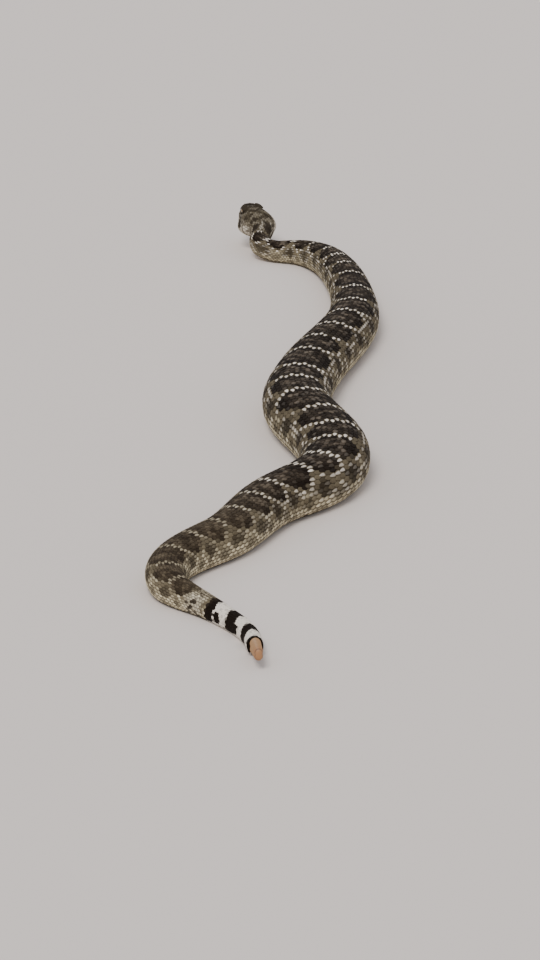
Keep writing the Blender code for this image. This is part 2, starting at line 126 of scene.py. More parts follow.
@dataclass
class Route:
    """The axis of the body over the ground, from the end of the tail to the joint of the head."""

    points: Table = (
        (-0.0115, -0.5400), (-0.0155, -0.5140), (-0.0330, -0.4790), (-0.0565, -0.4485),
        (-0.0800, -0.4200), (-0.0835, -0.3885), (-0.0655, -0.3505), (-0.0380, -0.3165),
        (-0.0190, -0.2775), (0.0030, -0.2345), (0.0360, -0.1965), (0.0550, -0.1515),
        (0.0530, -0.1015), (0.0370, -0.0495), (0.0245, 0.0055), (0.0285, 0.0625),
        (0.0430, 0.1275), (0.0630, 0.1925), (0.0785, 0.2575), (0.0810, 0.3225),
        (0.0765, 0.3825), (0.0670, 0.4355), (0.0510, 0.4795), (0.0275, 0.5050),
        (0.0045, 0.5120), (-0.0089, 0.5200), (-0.0106, 0.5300), (-0.0078, 0.5395),
        (-0.0121, 0.5505),
    )
    middle: tuple[float, float] = (0.00167, 0.00842)
    cut_end: float = 0.0115
    neck_pitch: float = math.radians(13.5)
    neck_rise: float = 0.044
    neck_lift: float = 0.0118
    neck_roll: float = math.radians(4)
    tail_pitch: float = math.radians(10)
    tail_rise: float = 0.028
    widths: Table = (
        (0.000, 0.0145), (0.035, 0.0165), (0.070, 0.0188), (0.105, 0.0235), (0.140, 0.0310),
        (0.200, 0.0398), (0.260, 0.0450), (0.330, 0.0500), (0.410, 0.0575), (0.500, 0.0635),
        (0.580, 0.0640), (0.680, 0.0600), (0.780, 0.0560), (0.870, 0.0510), (0.960, 0.0430),
        (1.030, 0.0385), (1.080, 0.0335), (1.120, 0.0280), (1.150, 0.0235), (1.170, 0.0215),
        (1.200, 0.0210),
    )
    height_shares: Table = (
        (0.00, 0.98), (0.10, 0.86), (0.30, 0.75), (0.50, 0.72), (0.80, 0.76),
        (1.00, 0.83), (1.08, 0.90), (1.15, 0.93), (1.25, 0.93),
    )
    upper_share: float = 0.54

    def __post_init__(self) -> None:
        """Works out the axis in space, with its belly on the ground between the two raised ends."""
        flat = natural_spline(np.array(self.points), 3000) - np.array(self.middle)
        run = np.r_[0, np.cumsum(np.linalg.norm(np.diff(flat, axis=0), axis=1))]
        keep = run <= run[-1] - self.cut_end
        flat, run = flat[keep], run[keep]
        neck = np.clip((run - run[-1] + self.neck_rise) / self.neck_rise, 0, 1)
        tail = np.maximum(self.tail_rise - run, 0)
        lift = self.neck_lift * neck**2 * (3 - 2 * neck)
        lift += math.tan(self.neck_pitch) * self.neck_rise * (neck**3 - neck**2)
        lift += 0.5 * math.tan(self.tail_pitch) / self.tail_rise * tail**2
        belly = np.column_stack([flat, lift])
        self.steps = np.r_[0, np.cumsum(np.linalg.norm(np.diff(belly, axis=0), axis=1))]
        self.length = float(self.steps[-1])
        belly[:, 2] += self.below(self.steps)
        self.axis = belly
        self.slopes = np.gradient(belly, self.steps, axis=0)

    def width(self, q: Array) -> Array:
        """Width of the body at q."""
        return along_table(self.widths, q)

    def height(self, q: Array) -> Array:
        """Height of the body at q."""
        return self.width(q) * along_table(self.height_shares, q)

    def below(self, q: Array) -> Array:
        """Depth of the belly under the axis at q."""
        return self.height(q) * (1 - self.upper_share)

    def frame(self, q: Array) -> tuple[Array, Array, Array, Array]:
        """Centre of the section at each q, and the directions forward, left and up there."""
        q = np.atleast_1d(q)
        centre = np.stack([np.interp(q, self.steps, self.axis[:, i]) for i in range(3)], -1)
        ahead = np.stack([np.interp(q, self.steps, self.slopes[:, i]) for i in range(3)], -1)
        ahead /= np.linalg.norm(ahead, axis=-1, keepdims=True)
        left = np.cross([0.0, 0.0, 1.0], ahead)
        left /= np.linalg.norm(left, axis=-1, keepdims=True)
        up = np.cross(ahead, left)
        roll = self.neck_roll * np.clip((q - self.length + self.neck_rise) / self.neck_rise, 0, 1)
        roll = roll[..., None]
        return (
            centre,
            ahead,
            left * np.cos(roll) + up * np.sin(roll),
            up * np.cos(roll) - left * np.sin(roll),
        )


@dataclass
class Head:
    """The form of the head in its own frame: x forwards, y to its left, z up from its axis."""

    route: Route
    rows: Table = (
        (0.0000, 0.0110, 0.0103, -0.0089), (0.0040, 0.0124, 0.0106, -0.0098),
        (0.0080, 0.0153, 0.0113, -0.0110), (0.0130, 0.0186, 0.0123, -0.0119),
        (0.0180, 0.0200, 0.0130, -0.0120), (0.0240, 0.0194, 0.0133, -0.0113),
        (0.0300, 0.0170, 0.0131, -0.0102), (0.0360, 0.0142, 0.0127, -0.0091),
        (0.0410, 0.0120, 0.0116, -0.0080), (0.0455, 0.0101, 0.0101, -0.0068),
        (0.0490, 0.0082, 0.0083, -0.0055), (0.0508, 0.0060, 0.0066, -0.0040),
        (0.0516, 0.0034, 0.0044, -0.0022),
    )
    waist: Table = (
        (0.0, 0.0), (0.018, -0.0025), (0.036, -0.0030), (0.0516, -0.0012),
    )
    square: Table = (
        (0.0, 2.0), (0.014, 2.1), (0.030, 2.6), (0.044, 3.2), (0.0516, 2.6),
    )
    lean: Table = (
        (0.0, 0.0), (0.014, 0.10), (0.036, 0.20), (0.0516, 0.12),
    )
    mouth: Table = (
        (0.0530, -0.0026), (0.0490, -0.0034), (0.0430, -0.0046), (0.0370, -0.0052),
        (0.0300, -0.0050), (0.0230, -0.0050), (0.0170, -0.0062), (0.0135, -0.0080),
    )
    lip_swell: float = 0.0006
    lip_spread: float = 0.0016
    lip_start: float = 0.0135
    lip_fade: float = 0.004
    nape_turn: float = math.radians(25)
    nape_length: float = 0.015
    length: float = 0.0516

    def __post_init__(self) -> None:
        """Works out where the head's frame stands, so that the bent nape meets the neck."""
        steps = np.linspace(0, self.nape_length, 200)
        middle = self.turn((steps[1:] + steps[:-1]) / 2)
        self.bend_steps = steps
        self.bend_run = np.r_[0, np.cumsum(np.diff(steps) * np.cos(middle))]
        self.bend_side = np.r_[0, np.cumsum(np.diff(steps) * np.sin(middle))]
        centre, ahead, left, up = (v[0] for v in self.route.frame(np.array([self.route.length])))
        turn = float(self.turn(np.array(0.0)))
        self.ahead = ahead * math.cos(turn) - left * math.sin(turn)
        self.aside = left * math.cos(turn) + ahead * math.sin(turn)
        self.up = up
        joint = self.bent(np.zeros((1, 3)))[0]
        self.origin = centre - self.ahead * joint[0] - self.aside * joint[1]

    def turn(self, x: Array) -> Array:
        """Angle from the head's axis to the axis of the nape at x."""
        return -self.nape_turn * np.maximum(1 - x / self.nape_length, 0) ** 2

    def bent(self, points: Array) -> Array:
        """Bends the rear of the head, given in its straight frame, to meet the neck."""
        x, y = points[..., 0], points[..., 1]
        inside = np.minimum(x, self.nape_length)
        turn = self.turn(x)
        run = np.interp(inside, self.bend_steps, self.bend_run) - self.bend_run[-1]
        side = np.interp(inside, self.bend_steps, self.bend_side) - self.bend_side[-1]
        across = run + self.nape_length + x - inside - y * np.sin(turn)
        return np.stack([across, side + y * np.cos(turn), points[..., 2]], -1)

    def section(self, x: Array, around: Array) -> tuple[Array, Array]:
        """Sideways and upward place of a point of the section at x.

        Above the waist the section is a rounded box whose sides lean in, below it an ellipse, and
        a slight swelling runs along the lip over the mouth.

        Args:
            x: distance forwards from the neck joint.
            around: angle, 0 at the crown and growing to the left.

        Returns:
            y and z in the head's frame.
        """
        half, crown, chin = (along_table(self.rows, x, column) for column in (1, 2, 3))
        waist = along_table(self.waist, x)
        side, level = np.sin(around), np.cos(around)
        power = np.where(level > 0, 2 / along_table(self.square, x), 1.0)
        across = np.sign(side) * np.abs(side) ** power
        rise = np.sign(level) * np.abs(level) ** power
        y = half * across * (1 - along_table(self.lean, x) * np.maximum(rise, 0))
        z = waist + np.where(level > 0, (crown - waist) * rise, (waist - chin) * rise)
        over = z - along_table(self.mouth, x) - self.lip_spread
        swell = self.lip_swell * bump(over, self.lip_spread)
        swell = swell * np.clip((x - self.lip_start) / self.lip_fade, 0, 1)
        return y + np.sign(side) * swell, z

    def place(self, points: Array) -> Array:
        """Points of the head's straight frame in the row frame, with the nape bent."""
        p = self.bent(points)
        return self.origin + p[..., :1] * self.ahead + p[..., 1:2] * self.aside + p[..., 2:] * self.up

    def straight(self, vector: Point) -> Array:
        """A direction of the head's frame in the row frame."""
        return vector[0] * self.ahead + vector[1] * self.aside + vector[2] * self.up


@dataclass
class Hollow:
    """A dent in the head, such as a heat pit, by its place, its radius and its depth."""

    x: float
    f: float
    radius: float
    depth: float


@dataclass
class Form:
    """The whole outside of the snake, from the end of the tail to the tip of the snout."""

    route: Route
    head: Head
    belly_edge: float = math.radians(131)
    flat_angle: float = math.radians(38)
    flank_power: float = 0.7
    blend: float = 0.020
    coat_depth: float = 0.0008
    lip_limit: float = math.radians(150)
    lip_join: tuple[float, float] = (0.006, 0.0145)
    even_reach: float = 0.030
    even_spread: float = 0.0052
    round_reach: float = 0.015
    round_spread: float = 0.0027
    pitch_least: float = 0.0017
    pitch_growth: float = 0.074
    nape_pitch: float = 0.0036
    pitch_loss: float = 0.0019
    hollows: list[Hollow] = field(default_factory=list)

    def __post_init__(self) -> None:
        """Tabulates the axis, and the angle round the section at every q for even steps of f."""
        self.length = self.route.length + self.head.length
        self.tabulate_axis()
        body = np.linspace(0, self.route.length - 0.02, 90)
        self.table_q = np.r_[body, np.linspace(self.route.length - 0.019, self.length, 110)]
        self.table_f = np.linspace(0, 2, 81)
        angles = np.linspace(0, math.pi, 361)
        q = np.broadcast_to(self.table_q[:, None], (len(self.table_q), len(angles)))
        y, z = self.section(q, np.broadcast_to(angles, q.shape))
        arc = np.cumsum(np.hypot(np.diff(y, axis=1), np.diff(z, axis=1)), axis=1)
        arc = np.concatenate([np.zeros((len(arc), 1)), arc], axis=1)
        x = self.table_q - self.route.length
        line = along_table(self.head.mouth, x)
        side = len(angles) // 2
        low = np.argmin(np.abs(z[:, side:] - line[:, None]), axis=1) + side
        share = smooth_step(*self.lip_join, x)
        edge = self.belly_edge * (1 - share) + np.minimum(angles[low], self.lip_limit) * share
        self.table = np.empty((len(self.table_q), len(self.table_f)))
        for i, row in enumerate(arc):
            split = np.interp(edge[i], angles, row)
            wanted = np.where(
                self.table_f <= 1,
                self.table_f * split,
                split + (self.table_f - 1) * (row[-1] - split),
            )
            self.table[i] = np.interp(wanted, row, angles)

    def tabulate_axis(self) -> None:
        """Centres of the sections through body, nape and head, with their directions left and up."""
        joint, head = self.route.length, self.head
        self.axis_q = np.r_[self.route.steps, joint + np.linspace(0, head.length, 400)[1:]]
        x = np.maximum(self.axis_q - joint, 0)
        centre, _, left, up = self.route.frame(np.minimum(self.axis_q, joint))
        on_head = (self.axis_q > joint)[:, None]
        turn = head.turn(x)[:, None]
        aside = np.cos(turn) * head.aside - np.sin(turn) * head.ahead
        self.axis = np.where(on_head, head.place(np.stack([x, 0 * x, 0 * x], -1)), centre)
        self.left = self.evened(np.where(on_head, aside, left))
        self.up = self.evened(np.where(on_head, head.up, up))

    def evened(self, sides: Array) -> Array:
        """Directions along the snake, averaged over some millimetres where the nape bends."""
        away = np.abs(self.axis_q - self.route.length)
        near = away < self.even_reach
        q, raw = self.axis_q[near], sides[near]
        weight = bump(q[:, None] - q[None], self.even_spread) * np.gradient(q)
        mean = weight @ raw
        mean /= np.linalg.norm(mean, axis=1, keepdims=True)
        share = smooth_step(self.even_reach, 0.6 * self.even_reach, away[near])[:, None]
        out = sides.copy()
        out[near] = raw + share * (mean - raw)
        return out

    def section(self, q: Array, around: Array) -> tuple[Array, Array]:
        """Sideways and upward place of a point of the section, from the section's own centre.

        The back of the body is half an ellipse; its belly is flat in the middle and curves up into
        the flanks. Near the neck joint this turns into the head's section.
        """
        route = self.route
        height = route.height(q)
        side, level = np.sin(around), np.cos(around)
        flank = np.minimum(1.0, np.maximum(-level, 0) / math.cos(self.flat_angle)) ** self.flank_power
        above, below = height * route.upper_share, height * (1 - route.upper_share)
        y = route.width(q) / 2 * side
        z = np.where(level < 0, -below * flank, above * level)
        x = q - route.length
        head_y, head_z = self.head.section(np.maximum(x, 0), around)
        share = smooth_step(-self.blend, 0, x)
        return y + (head_y - y) * share, z + (head_z - z) * share

    def angle(self, q: Array, f: Array) -> Array:
        """The angle round the section for f, which may run on past 2 to the other side."""
        past = np.abs(f) > 2
        folded = np.where(past, 4 - np.abs(f), np.abs(f))
        i = np.clip(np.searchsorted(self.table_q, q) - 1, 0, len(self.table_q) - 2)
        a = np.clip((q - self.table_q[i]) / (self.table_q[i + 1] - self.table_q[i]), 0, 1)
        g = np.clip(folded, 0, 2) * (len(self.table_f) - 1) / 2
        j = np.clip(g.astype(int), 0, len(self.table_f) - 2)
        b = g - j
        low = self.table[i, j] * (1 - b) + self.table[i, j + 1] * b
        high = self.table[i + 1, j] * (1 - b) + self.table[i + 1, j + 1] * b
        angle = low * (1 - a) + high * a
        return np.sign(f) * np.where(past, 2 * math.pi - angle, angle)

    def swept(self, q: Array, around: Array) -> Array:
        """Points of the sections as they stand along the axis."""
        y, z = self.section(q, around)
        centre, left, up = (
            np.stack([np.interp(q, self.axis_q, table[:, i]) for i in range(3)], -1)
            for table in (self.axis, self.left, self.up)
        )
        return centre + left * y[:, None] + up * z[:, None]

    def outside(self, q: Array, around: Array) -> Array:
        """Points on the outside of the solids, with the crease of the nape rounded off."""
        shape = q.shape
        q, around = q.ravel(), around.ravel()
        points = self.swept(q, around)
        away = np.abs(q - self.route.length)
        near = away < self.round_reach
        if near.any():
            spread = self.round_spread * smooth_step(self.round_reach, 0.35 * self.round_reach, away[near])
            shifts, shares = (-2, -1, 0, 1, 2), (0.14, 0.22, 0.28, 0.22, 0.14)
            points[near] = sum(
                share * self.swept(q[near] + shift * spread, around[near])
                for shift, share in zip(shifts, shares)
            )
        return points.reshape(*shape, 3)

    def point(self, q: Array, f: Array, lift: Array | float = 0.0) -> Array:
        """Points at a height over the skin, which lies under the solids' outside by the coat's depth.

        Args:
            q: distances along the snake.
            f: ways round it.
            lift: height over the skin, in metres.

        Returns:
            Points in the row frame.
        """
        q = np.clip(q, 1e-4, self.length - 1e-5)
        around = self.angle(q, f)
        step_q, step_a = 3e-4, 2e-3
        along = self.outside(q + step_q / 2, around) - self.outside(q - step_q / 2, around)
        across = self.outside(q, around + step_a) - self.outside(q, around - step_a)
        normal = np.cross(along, across)
        normal /= np.maximum(np.linalg.norm(normal, axis=-1, keepdims=True), 1e-12)
        lift = np.broadcast_to(lift, q.shape) - self.coat_depth - self.dent(q, f)
        return self.outside(q, around) + normal * lift[..., None]

    def pitch(self, q: Array) -> Array:
        """Distance between one scale and the next in its row along the back."""
        x = q - self.route.length
        body = self.pitch_least + self.pitch_growth * self.route.width(q)
        head = self.nape_pitch - self.pitch_loss * smooth_step(0.012, 0.045, x)
        return body + (head - body) * smooth_step(-0.012, 0.004, x)

    def dent(self, q: Array, f: Array) -> Array:
        """Depth of the hollows of the head at a point."""
        x = q - self.route.length
        total = np.zeros(q.shape)
        for hollow in self.hollows:
            arc = (np.abs(f) - hollow.f) * self.arc_per_f(hollow.x)
            away = np.hypot(x - hollow.x, arc) / hollow.radius
            total += hollow.depth * np.exp(-(away**4))
        return total

    def arc(self, x: Array, low: float, high: float, count: int) -> Array:
        """Length round the head's section at each x from one f to another."""
        q = np.repeat(self.route.length + x, count)
        y, z = self.section(q, self.angle(q, np.tile(np.linspace(low, high, count), len(x))))
        y, z = y.reshape(-1, count), z.reshape(-1, count)
        return np.hypot(np.diff(y, axis=1), np.diff(z, axis=1)).sum(axis=1)

    def arc_per_f(self, x: float | Array) -> Array:
        """Length round the head's section at x that goes with one unit of f over the belly edge."""
        arc = self.arc(np.atleast_1d(x), 0, 1, 40)
        return arc if np.ndim(x) else float(arc[0])

    def find(self, x: float, y: float, z: float) -> float:
        """The f of the point on the head's section at x that lies nearest to y and z."""
        f = np.linspace(0, 2, 400)
        q = np.full(f.shape, self.route.length + x)
        sy, sz = self.section(q, self.angle(q, f))
        return float(f[np.argmin(np.hypot(sy - y, sz - z))])


@dataclass
class Cells:
    """Places on the body, with the blotch that each belongs to told in rows of scales.

    The fields a, r and n are the way round the body from the back, the rows of scales down from
    there, and the rows from the nearest pale line across. The fields half, flat and corner are the
    blotch's half length, its half width at the line and its half width at its middle. Rear and neck
    are 1 on those parts of the snake, and tint is a random number for each scale.
    """

    q: Array
    f: Array
    tint: Array
    a: Array
    r: Array
    n: Array
    half: Array
    flat: Array
    corner: Array
    rear: Array
    neck: Array

    def __post_init__(self) -> None:
        """Works out the blotch's half width at each place, and how ragged each scale makes it."""
        self.share = np.clip(self.n / self.half, 0, 1)
        self.edge = self.flat + (self.corner - self.flat) * np.sin(np.pi / 2 * self.share) ** 0.85
        self.ragged = self.tint - 0.5


@dataclass(frozen=True)
class FlankSpots:
    """One row of dark spots on each flank, opposite the pale lines or between them.

    Lengths are in rows of scales. The spots are as long as ahead and as deep as down round a row,
    ragged by the scales' tints, and may grow or fade on the neck. A spot starts where its bell
    reaches low, and is as dark as dark where it reaches full.
    """

    row: float
    ahead: float
    down: float
    ragged: float
    low: float
    full: float
    dark: float
    neck_ahead: float = 0.0
    neck_down: float = 0.0
    neck_fade: float = 0.0
    between: bool = False

    def mask(self, at: Cells) -> Array:
        """How dark the spots are at each place."""
        away = at.half - at.n if self.between else at.n
        along = bump(away, self.ahead + self.neck_ahead * at.neck)
        spot = along * bump(at.r - self.row, self.down + self.neck_down * at.neck)
        share = smooth_step(self.low, self.full, spot + self.ragged * at.ragged)
        return (self.dark - self.neck_fade * at.neck) * share


@dataclass(frozen=True)
class Oval:
    """A soft oval on the head, by its middle and half size in millimetres along it and in f."""

    x: float
    length: float
    a: float
    width: float

    def mask(self, x: Array, a: Array) -> Array:
        """Its strength at each place."""
        return bump(x - self.x, self.length) * bump(a - self.a, self.width)


@dataclass
class Markings:
    """The snake's markings, as masks from 0 to 1 that skin and scales share.

    Pairs of distances are the start and the end of a change along the snake. Half widths and reaches
    across it are in rows of scales, and what is lost or gained is so on the neck.
    """

    form: Form
    lines: tuple[float, ...] = (
        0.1050, 0.1310, 0.1580, 0.1885, 0.2190, 0.2515, 0.2841, 0.3176,
        0.3487, 0.3881, 0.4224, 0.4603, 0.4973, 0.5384, 0.5874, 0.6241,
        0.6595, 0.7113, 0.7520, 0.7954, 0.8397, 0.8811, 0.9317, 0.9839,
        1.0202, 1.0500, 1.0792, 1.1090, 1.1365, 1.1680, 1.1850,
    )
    rings: Table = (
        (0.0840, 0.0050), (0.0550, 0.0070), (0.0268, 0.0064), (0.0020, 0.0045),
    )
    rows: float = 13.5
    blotches_start: tuple[float, float] = (0.0885, 0.0915)
    blotches_end: tuple[float, float] = (1.1845, 1.1862)
    line_half: float = 3.5
    line_loss: float = 2.2
    blotch_half: float = 6.8
    blotch_vary: float = 0.8
    blotch_gain: float = 0.6
    cream_start: float = 7.4
    cream_shift: float = 1.6
    cream_reach: float = 4.0
    rear: tuple[float, float] = (0.40, 0.22)
    neck: tuple[float, float] = (0.99, 1.09)
    ash_end: tuple[float, float] = (0.0835, 0.088)
    vent_start: tuple[float, float] = (0.0895, 0.0935)
    vent_end: tuple[float, float] = (0.1150, 0.1060)
    ring_lean: float = 0.004
    ring_wave: float = 0.0012
    ring_soft: float = 0.0006
    gap_step: float = 0.0158
    flank_spots: tuple[FlankSpots, ...] = (
        FlankSpots(7.8, 1.8, 2.1, 0.62, 0.32, 0.66, 0.80, neck_ahead=1.2, neck_down=0.6, neck_fade=0.08),
        FlankSpots(9.9, 1.6, 1.6, 0.70, 0.32, 0.70, 0.62, neck_fade=0.15, between=True),
        FlankSpots(12.0, 1.4, 1.1, 0.60, 0.36, 0.66, 0.45),
    )
    nape_patch: Oval = Oval(-2.0, 8.5, 0.34, 0.25)
    nape_streak: Oval = Oval(17, 11, 0.27, 0.11)
    crown: Oval = Oval(42, 13, 0.0, 0.85)
    seed: int = SEED

    def masks(self, q: Array, f: Array, tint: Array) -> Masks:
        """The masks at places on the snake.

        Args:
            q: distances along the snake.
            f: ways round it.
            tint: a random number from 0 to 1 for each place, one per scale.

        Returns:
            Masks by name: dark, core, pale, cream, ash, grey for the head's ground, warm for the
            rear of the body, and light for the lower flanks.
        """
        at = self.cells(q, f, tint)
        on_body = smooth_step(*self.blotches_start, q) * (1 - smooth_step(*self.blotches_end, q))
        out = self.blotches(at, on_body)
        self.mark_flanks(at, on_body, out)
        self.mark_tail(at, out)
        self.mark_head(q, f, at.a, tint, out)
        return {name: np.clip(mask, 0, 1) for name, mask in out.items()}

    def cells(self, q: Array, f: Array, tint: Array) -> Cells:
        """Finds the blotch of each place, and how wide that blotch is on its side."""
        lines = np.array(self.lines)
        a = np.abs(np.where(np.abs(f) > 2, 4 - np.abs(f), f))
        k = np.clip(np.searchsorted(lines, q) - 1, 0, len(lines) - 2)
        size = lines[k + 1] - lines[k]
        line = np.where(q - lines[k] < size / 2, k, k + 1)
        vary = np.random.default_rng(self.seed).uniform(-1, 1, (len(lines), 5))
        pitch = self.form.pitch(q)
        n = np.maximum(np.minimum(q - lines[k], lines[k + 1] - q), 0) / pitch
        side = f > 0
        neck = smooth_step(*self.neck, q)
        flat = self.line_half + np.where(side, vary[line, 0], vary[line, 1]) - self.line_loss * neck
        corner = self.blotch_half + self.blotch_vary * np.where(side, vary[k, 2], vary[k, 3])
        corner = corner + self.blotch_gain * neck
        rear = smooth_step(*self.rear, q)
        return Cells(q, f, tint, a, a * self.rows, n, size / pitch / 2, flat, corner, rear, neck)

    def blotches(self, at: Cells, on_body: Array) -> Masks:
        """The dark blotches down the back and the pale scales round them.

        Each blotch is a hexagon with rounded sides and a mottled, paler core. A line of pale scales,
        one in each row, parts it from the next and turns off along its sides.

        Args:
            at: the places.
            on_body: 1 where the body has blotches.

        Returns:
            Masks by name: dark, core and pale.
        """
        r, n, tint = at.r, at.n, at.tint
        inside = smooth_step(-0.2, 0.5, at.edge - 0.5 - r + 0.8 * at.ragged)
        across = smooth_step(0.42, 0.58, n + 0.12 * at.ragged)
        middle = np.maximum(1 - at.share, r / np.maximum(at.corner, 1) * 1.15)
        mottle = smooth_step(0.36, 0.68, self.noise(at.q * 0.6, at.f * 1.2, 13) + 0.3 * at.ragged)
        core = on_body * (1 - smooth_step(0.30, 0.90 + 0.25 * at.rear, middle))
        core = core * (0.25 + 0.55 * at.rear + 0.9 * tint) * (0.45 + mottle)
        cross = (n < 0.5 + 0.1 * at.neck) * (r < at.flat + 0.6)
        beside = (np.abs(r - at.edge) < 0.55) * (n >= 0.5) * (tint > 0.32)
        outline = np.exp(-(((n / 2.3) ** 2 + ((r - 8.0) / 2.6) ** 2 - 1) ** 2) * 3) * (n > 0.5)
        pale = np.maximum(cross * (0.50 + 0.50 * tint), beside * (0.14 + 0.46 * tint + 0.25 * at.neck))
        vein = bump(n - 0.60 * at.half, 0.9) * (r < at.edge - 1.2) * mottle * (tint > 0.40)
        pale = np.maximum(np.maximum(pale, 0.05 * vein), 0.34 * outline * (tint > 0.45))
        pale = on_body * pale * (1 - 0.45 * at.rear)
        return {"dark": on_body * inside * across, "core": core, "pale": pale}

    def mark_flanks(self, at: Cells, on_body: Array, out: Masks) -> None:
        """Adds the dark spots of the flanks, which grow paler towards the belly, and its specks."""
        r, ragged = at.r, at.ragged
        spots = np.maximum.reduce([row.mask(at) for row in self.flank_spots]) * (r > at.edge)
        start = self.cream_start - self.cream_shift * np.maximum(at.rear, at.neck)
        cream = smooth_step(start, start + self.cream_reach, r + 3.6 * ragged)
        cream = cream * (0.66 + 0.10 * at.rear + 0.34 * at.tint) * (1 - 0.38 * at.neck)
        specks = (r > 12.5) * (r < 16.5) * smooth_step(0.70, 0.80, self.noise(at.q, at.f, 3))
        out["dark"] = np.maximum(out["dark"], on_body * np.maximum(spots, 0.5 * specks))
        out["cream"] = np.maximum(cream, smooth_step(13.1, 13.9, r)) * (1 - 0.75 * spots)
        light = smooth_step(0.46, 0.92, at.a + 0.25 * at.rear + 0.28 * at.neck)
        out["light"] = light * (1 - 0.5 * np.abs(ragged))
        out["warm"] = at.rear

    def mark_tail(self, at: Cells, out: Masks) -> None:
        """Adds the tail's pale ash ground and black rings, and the faded stretch before them."""
        q, a, tint = at.q, at.a, at.tint
        ash = 1 - smooth_step(*self.ash_end, q + 0.003 * at.ragged)
        vent = smooth_step(*self.vent_start, q) * smooth_step(*self.vent_end, q)
        ash = np.maximum(ash, 0.30 * vent * smooth_step(1.0, 5.0, at.r) * (0.3 + 0.7 * tint))
        faded = vent * smooth_step(0.5, 4.5, at.r + 2 * at.ragged) * (0.35 + 0.65 * tint)
        dots = self.noise(q * 1.5, at.f * 1.6, 7) + 0.5 * at.ragged > 0.62
        dark = out["dark"] * (1 - 0.70 * vent) + 0.72 * vent * dots
        for centre, width in self.rings:
            wave = self.ring_wave * np.sin(at.f * 5 + centre * 900)
            place = q - centre + self.ring_lean * np.minimum(a, 1) + wave
            ring = 1 - smooth_step(width - self.ring_soft, width + self.ring_soft, np.abs(place))
            dark = np.maximum(dark, ring * (1 - smooth_step(1.10, 1.35, a)))
            gap = bump(q - centre - self.gap_step, 0.0048) * bump(a - 0.66, 0.27)
            dark = np.maximum(dark, (gap > 0.42) * (q < 0.080) * (centre > 0.01))
        specks = (0.26 + 0.5 * (a > 0.5) * (tint > 0.91)) * (q < 0.086) * (tint > 0.80)
        out["dark"] = np.maximum(dark, specks)
        out["cream"] = np.maximum(out["cream"], faded)
        out["ash"] = ash
        for name in ("core", "cream", "light"):
            out[name] = out[name] * (1 - ash)

    def noise(self, q: Array, f: Array, salt: int) -> Array:
        """Soft random blotches of a few millimetres, from crossed waves, between 0 and 1."""
        rng = np.random.default_rng(self.seed + salt)
        total = np.zeros(q.shape)
        for _ in range(6):
            wave_q, wave_f, phase = rng.uniform(250, 900), rng.uniform(-12, 12), rng.uniform(0, 7)
            total += np.sin(q * wave_q + f * wave_f + phase)
        return 0.5 + total / 7

    def mark_head(self, q: Array, f: Array, a: Array, tint: Array, out: Masks) -> None:
        """Adds the markings of nape and head: paired dark patches, streaks, and stripes by the eyes, and
        painted shade in the hollows of the eyes, pits and nostrils.
        """
        x = (q - self.form.route.length) / MM
        on_head = smooth_step(-10.2, -8.8, x)
        cloud = self.noise(q * 1.2, f * 2.6, 22)
        patch = self.nape_patch.mask(x, a) ** 2
        nape = 0.88 * smooth_step(0.22, 0.34, patch + 0.16 * (tint - 0.5))
        cheek = smooth_step(0.50, 0.68, a) * smooth_step(1, 6, x) * smooth_step(22, 15, x) * (a < 0.97)
        upper = 0.53 + 0.30 * np.clip((36 - x) / 22, 0, 1.2)
        lower = 0.74 + 0.55 * np.clip((38 - x) / 14, 0, 1)
        behind = (x > 15) & (x < 37)
        stripe = behind & (a > upper + 0.035) & (a < np.minimum(lower, 0.97) - 0.035)
        speck = 0.6 * cloud + 0.4 * self.noise(q * 1.8, f * 4, 24) + 0.25 * (tint - 0.5)
        streak = self.nape_streak.mask(x, a) * smooth_step(0.30, 0.55, cloud)
        crown = self.crown.mask(x, a) * (0.72 + 0.28 * tint)
        dark = np.maximum(np.maximum(nape, crown), np.maximum(0.78 * stripe, 0.7 * streak))
        dark = np.maximum(dark, 0.66 * smooth_step(0.47, 0.61, speck) * (a < 0.97)) * (1 - 0.75 * cheek)
        # Painted shade: the dark mask deepens with the depth of the hollows of eye, heat pit and nostril.
        dark = np.maximum(dark, np.clip(self.form.dent(q, f) / 0.0009, 0, 1))
        halo = bump(patch - 0.13, 0.07) * (x < 14) * (a < 0.75)
        pale = np.maximum.reduce(
            [
                0.28 * behind * bump(a - upper, 0.040) * (0.70 + 0.30 * tint),
                0.52 * ((x > 25) & (x < 41)) * bump(a - lower, 0.040),
                cheek * (0.22 + 0.60 * (tint > 0.40)),
                0.38 * (x > -10) * (x < 7) * (a < 0.05),
                0.42 * halo * (tint > 0.35),
                0.11 * smooth_step(0.66, 0.80, 1 - cloud + 0.2 * tint) * (a < 0.8),
            ]
        )
        chin = smooth_step(0.99, 1.03, a)
        lips = smooth_step(0.84, 0.95, a) * (0.55 + 0.4 * tint)
        marks = {
            "dark": dark * (1 - chin),
            "core": 0.20 * nape,
            "pale": pale * (1 - nape) * (1 - chin),
            "cream": np.maximum(chin, lips),
            "light": 0.35 * (a > 0.8),
        }
        for name, mask in marks.items():
            out[name] = out[name] * (1 - on_head) + on_head * mask
        out["grey"] = on_head * (0.6 + 0.4 * tint) * (1 - chin)


class Profile(Enum):
    """How a scale or plate is shaped."""

    KEELED = "keeled"
    SMOOTH = "smooth"
    BELLY = "belly"
    PLATE = "plate"


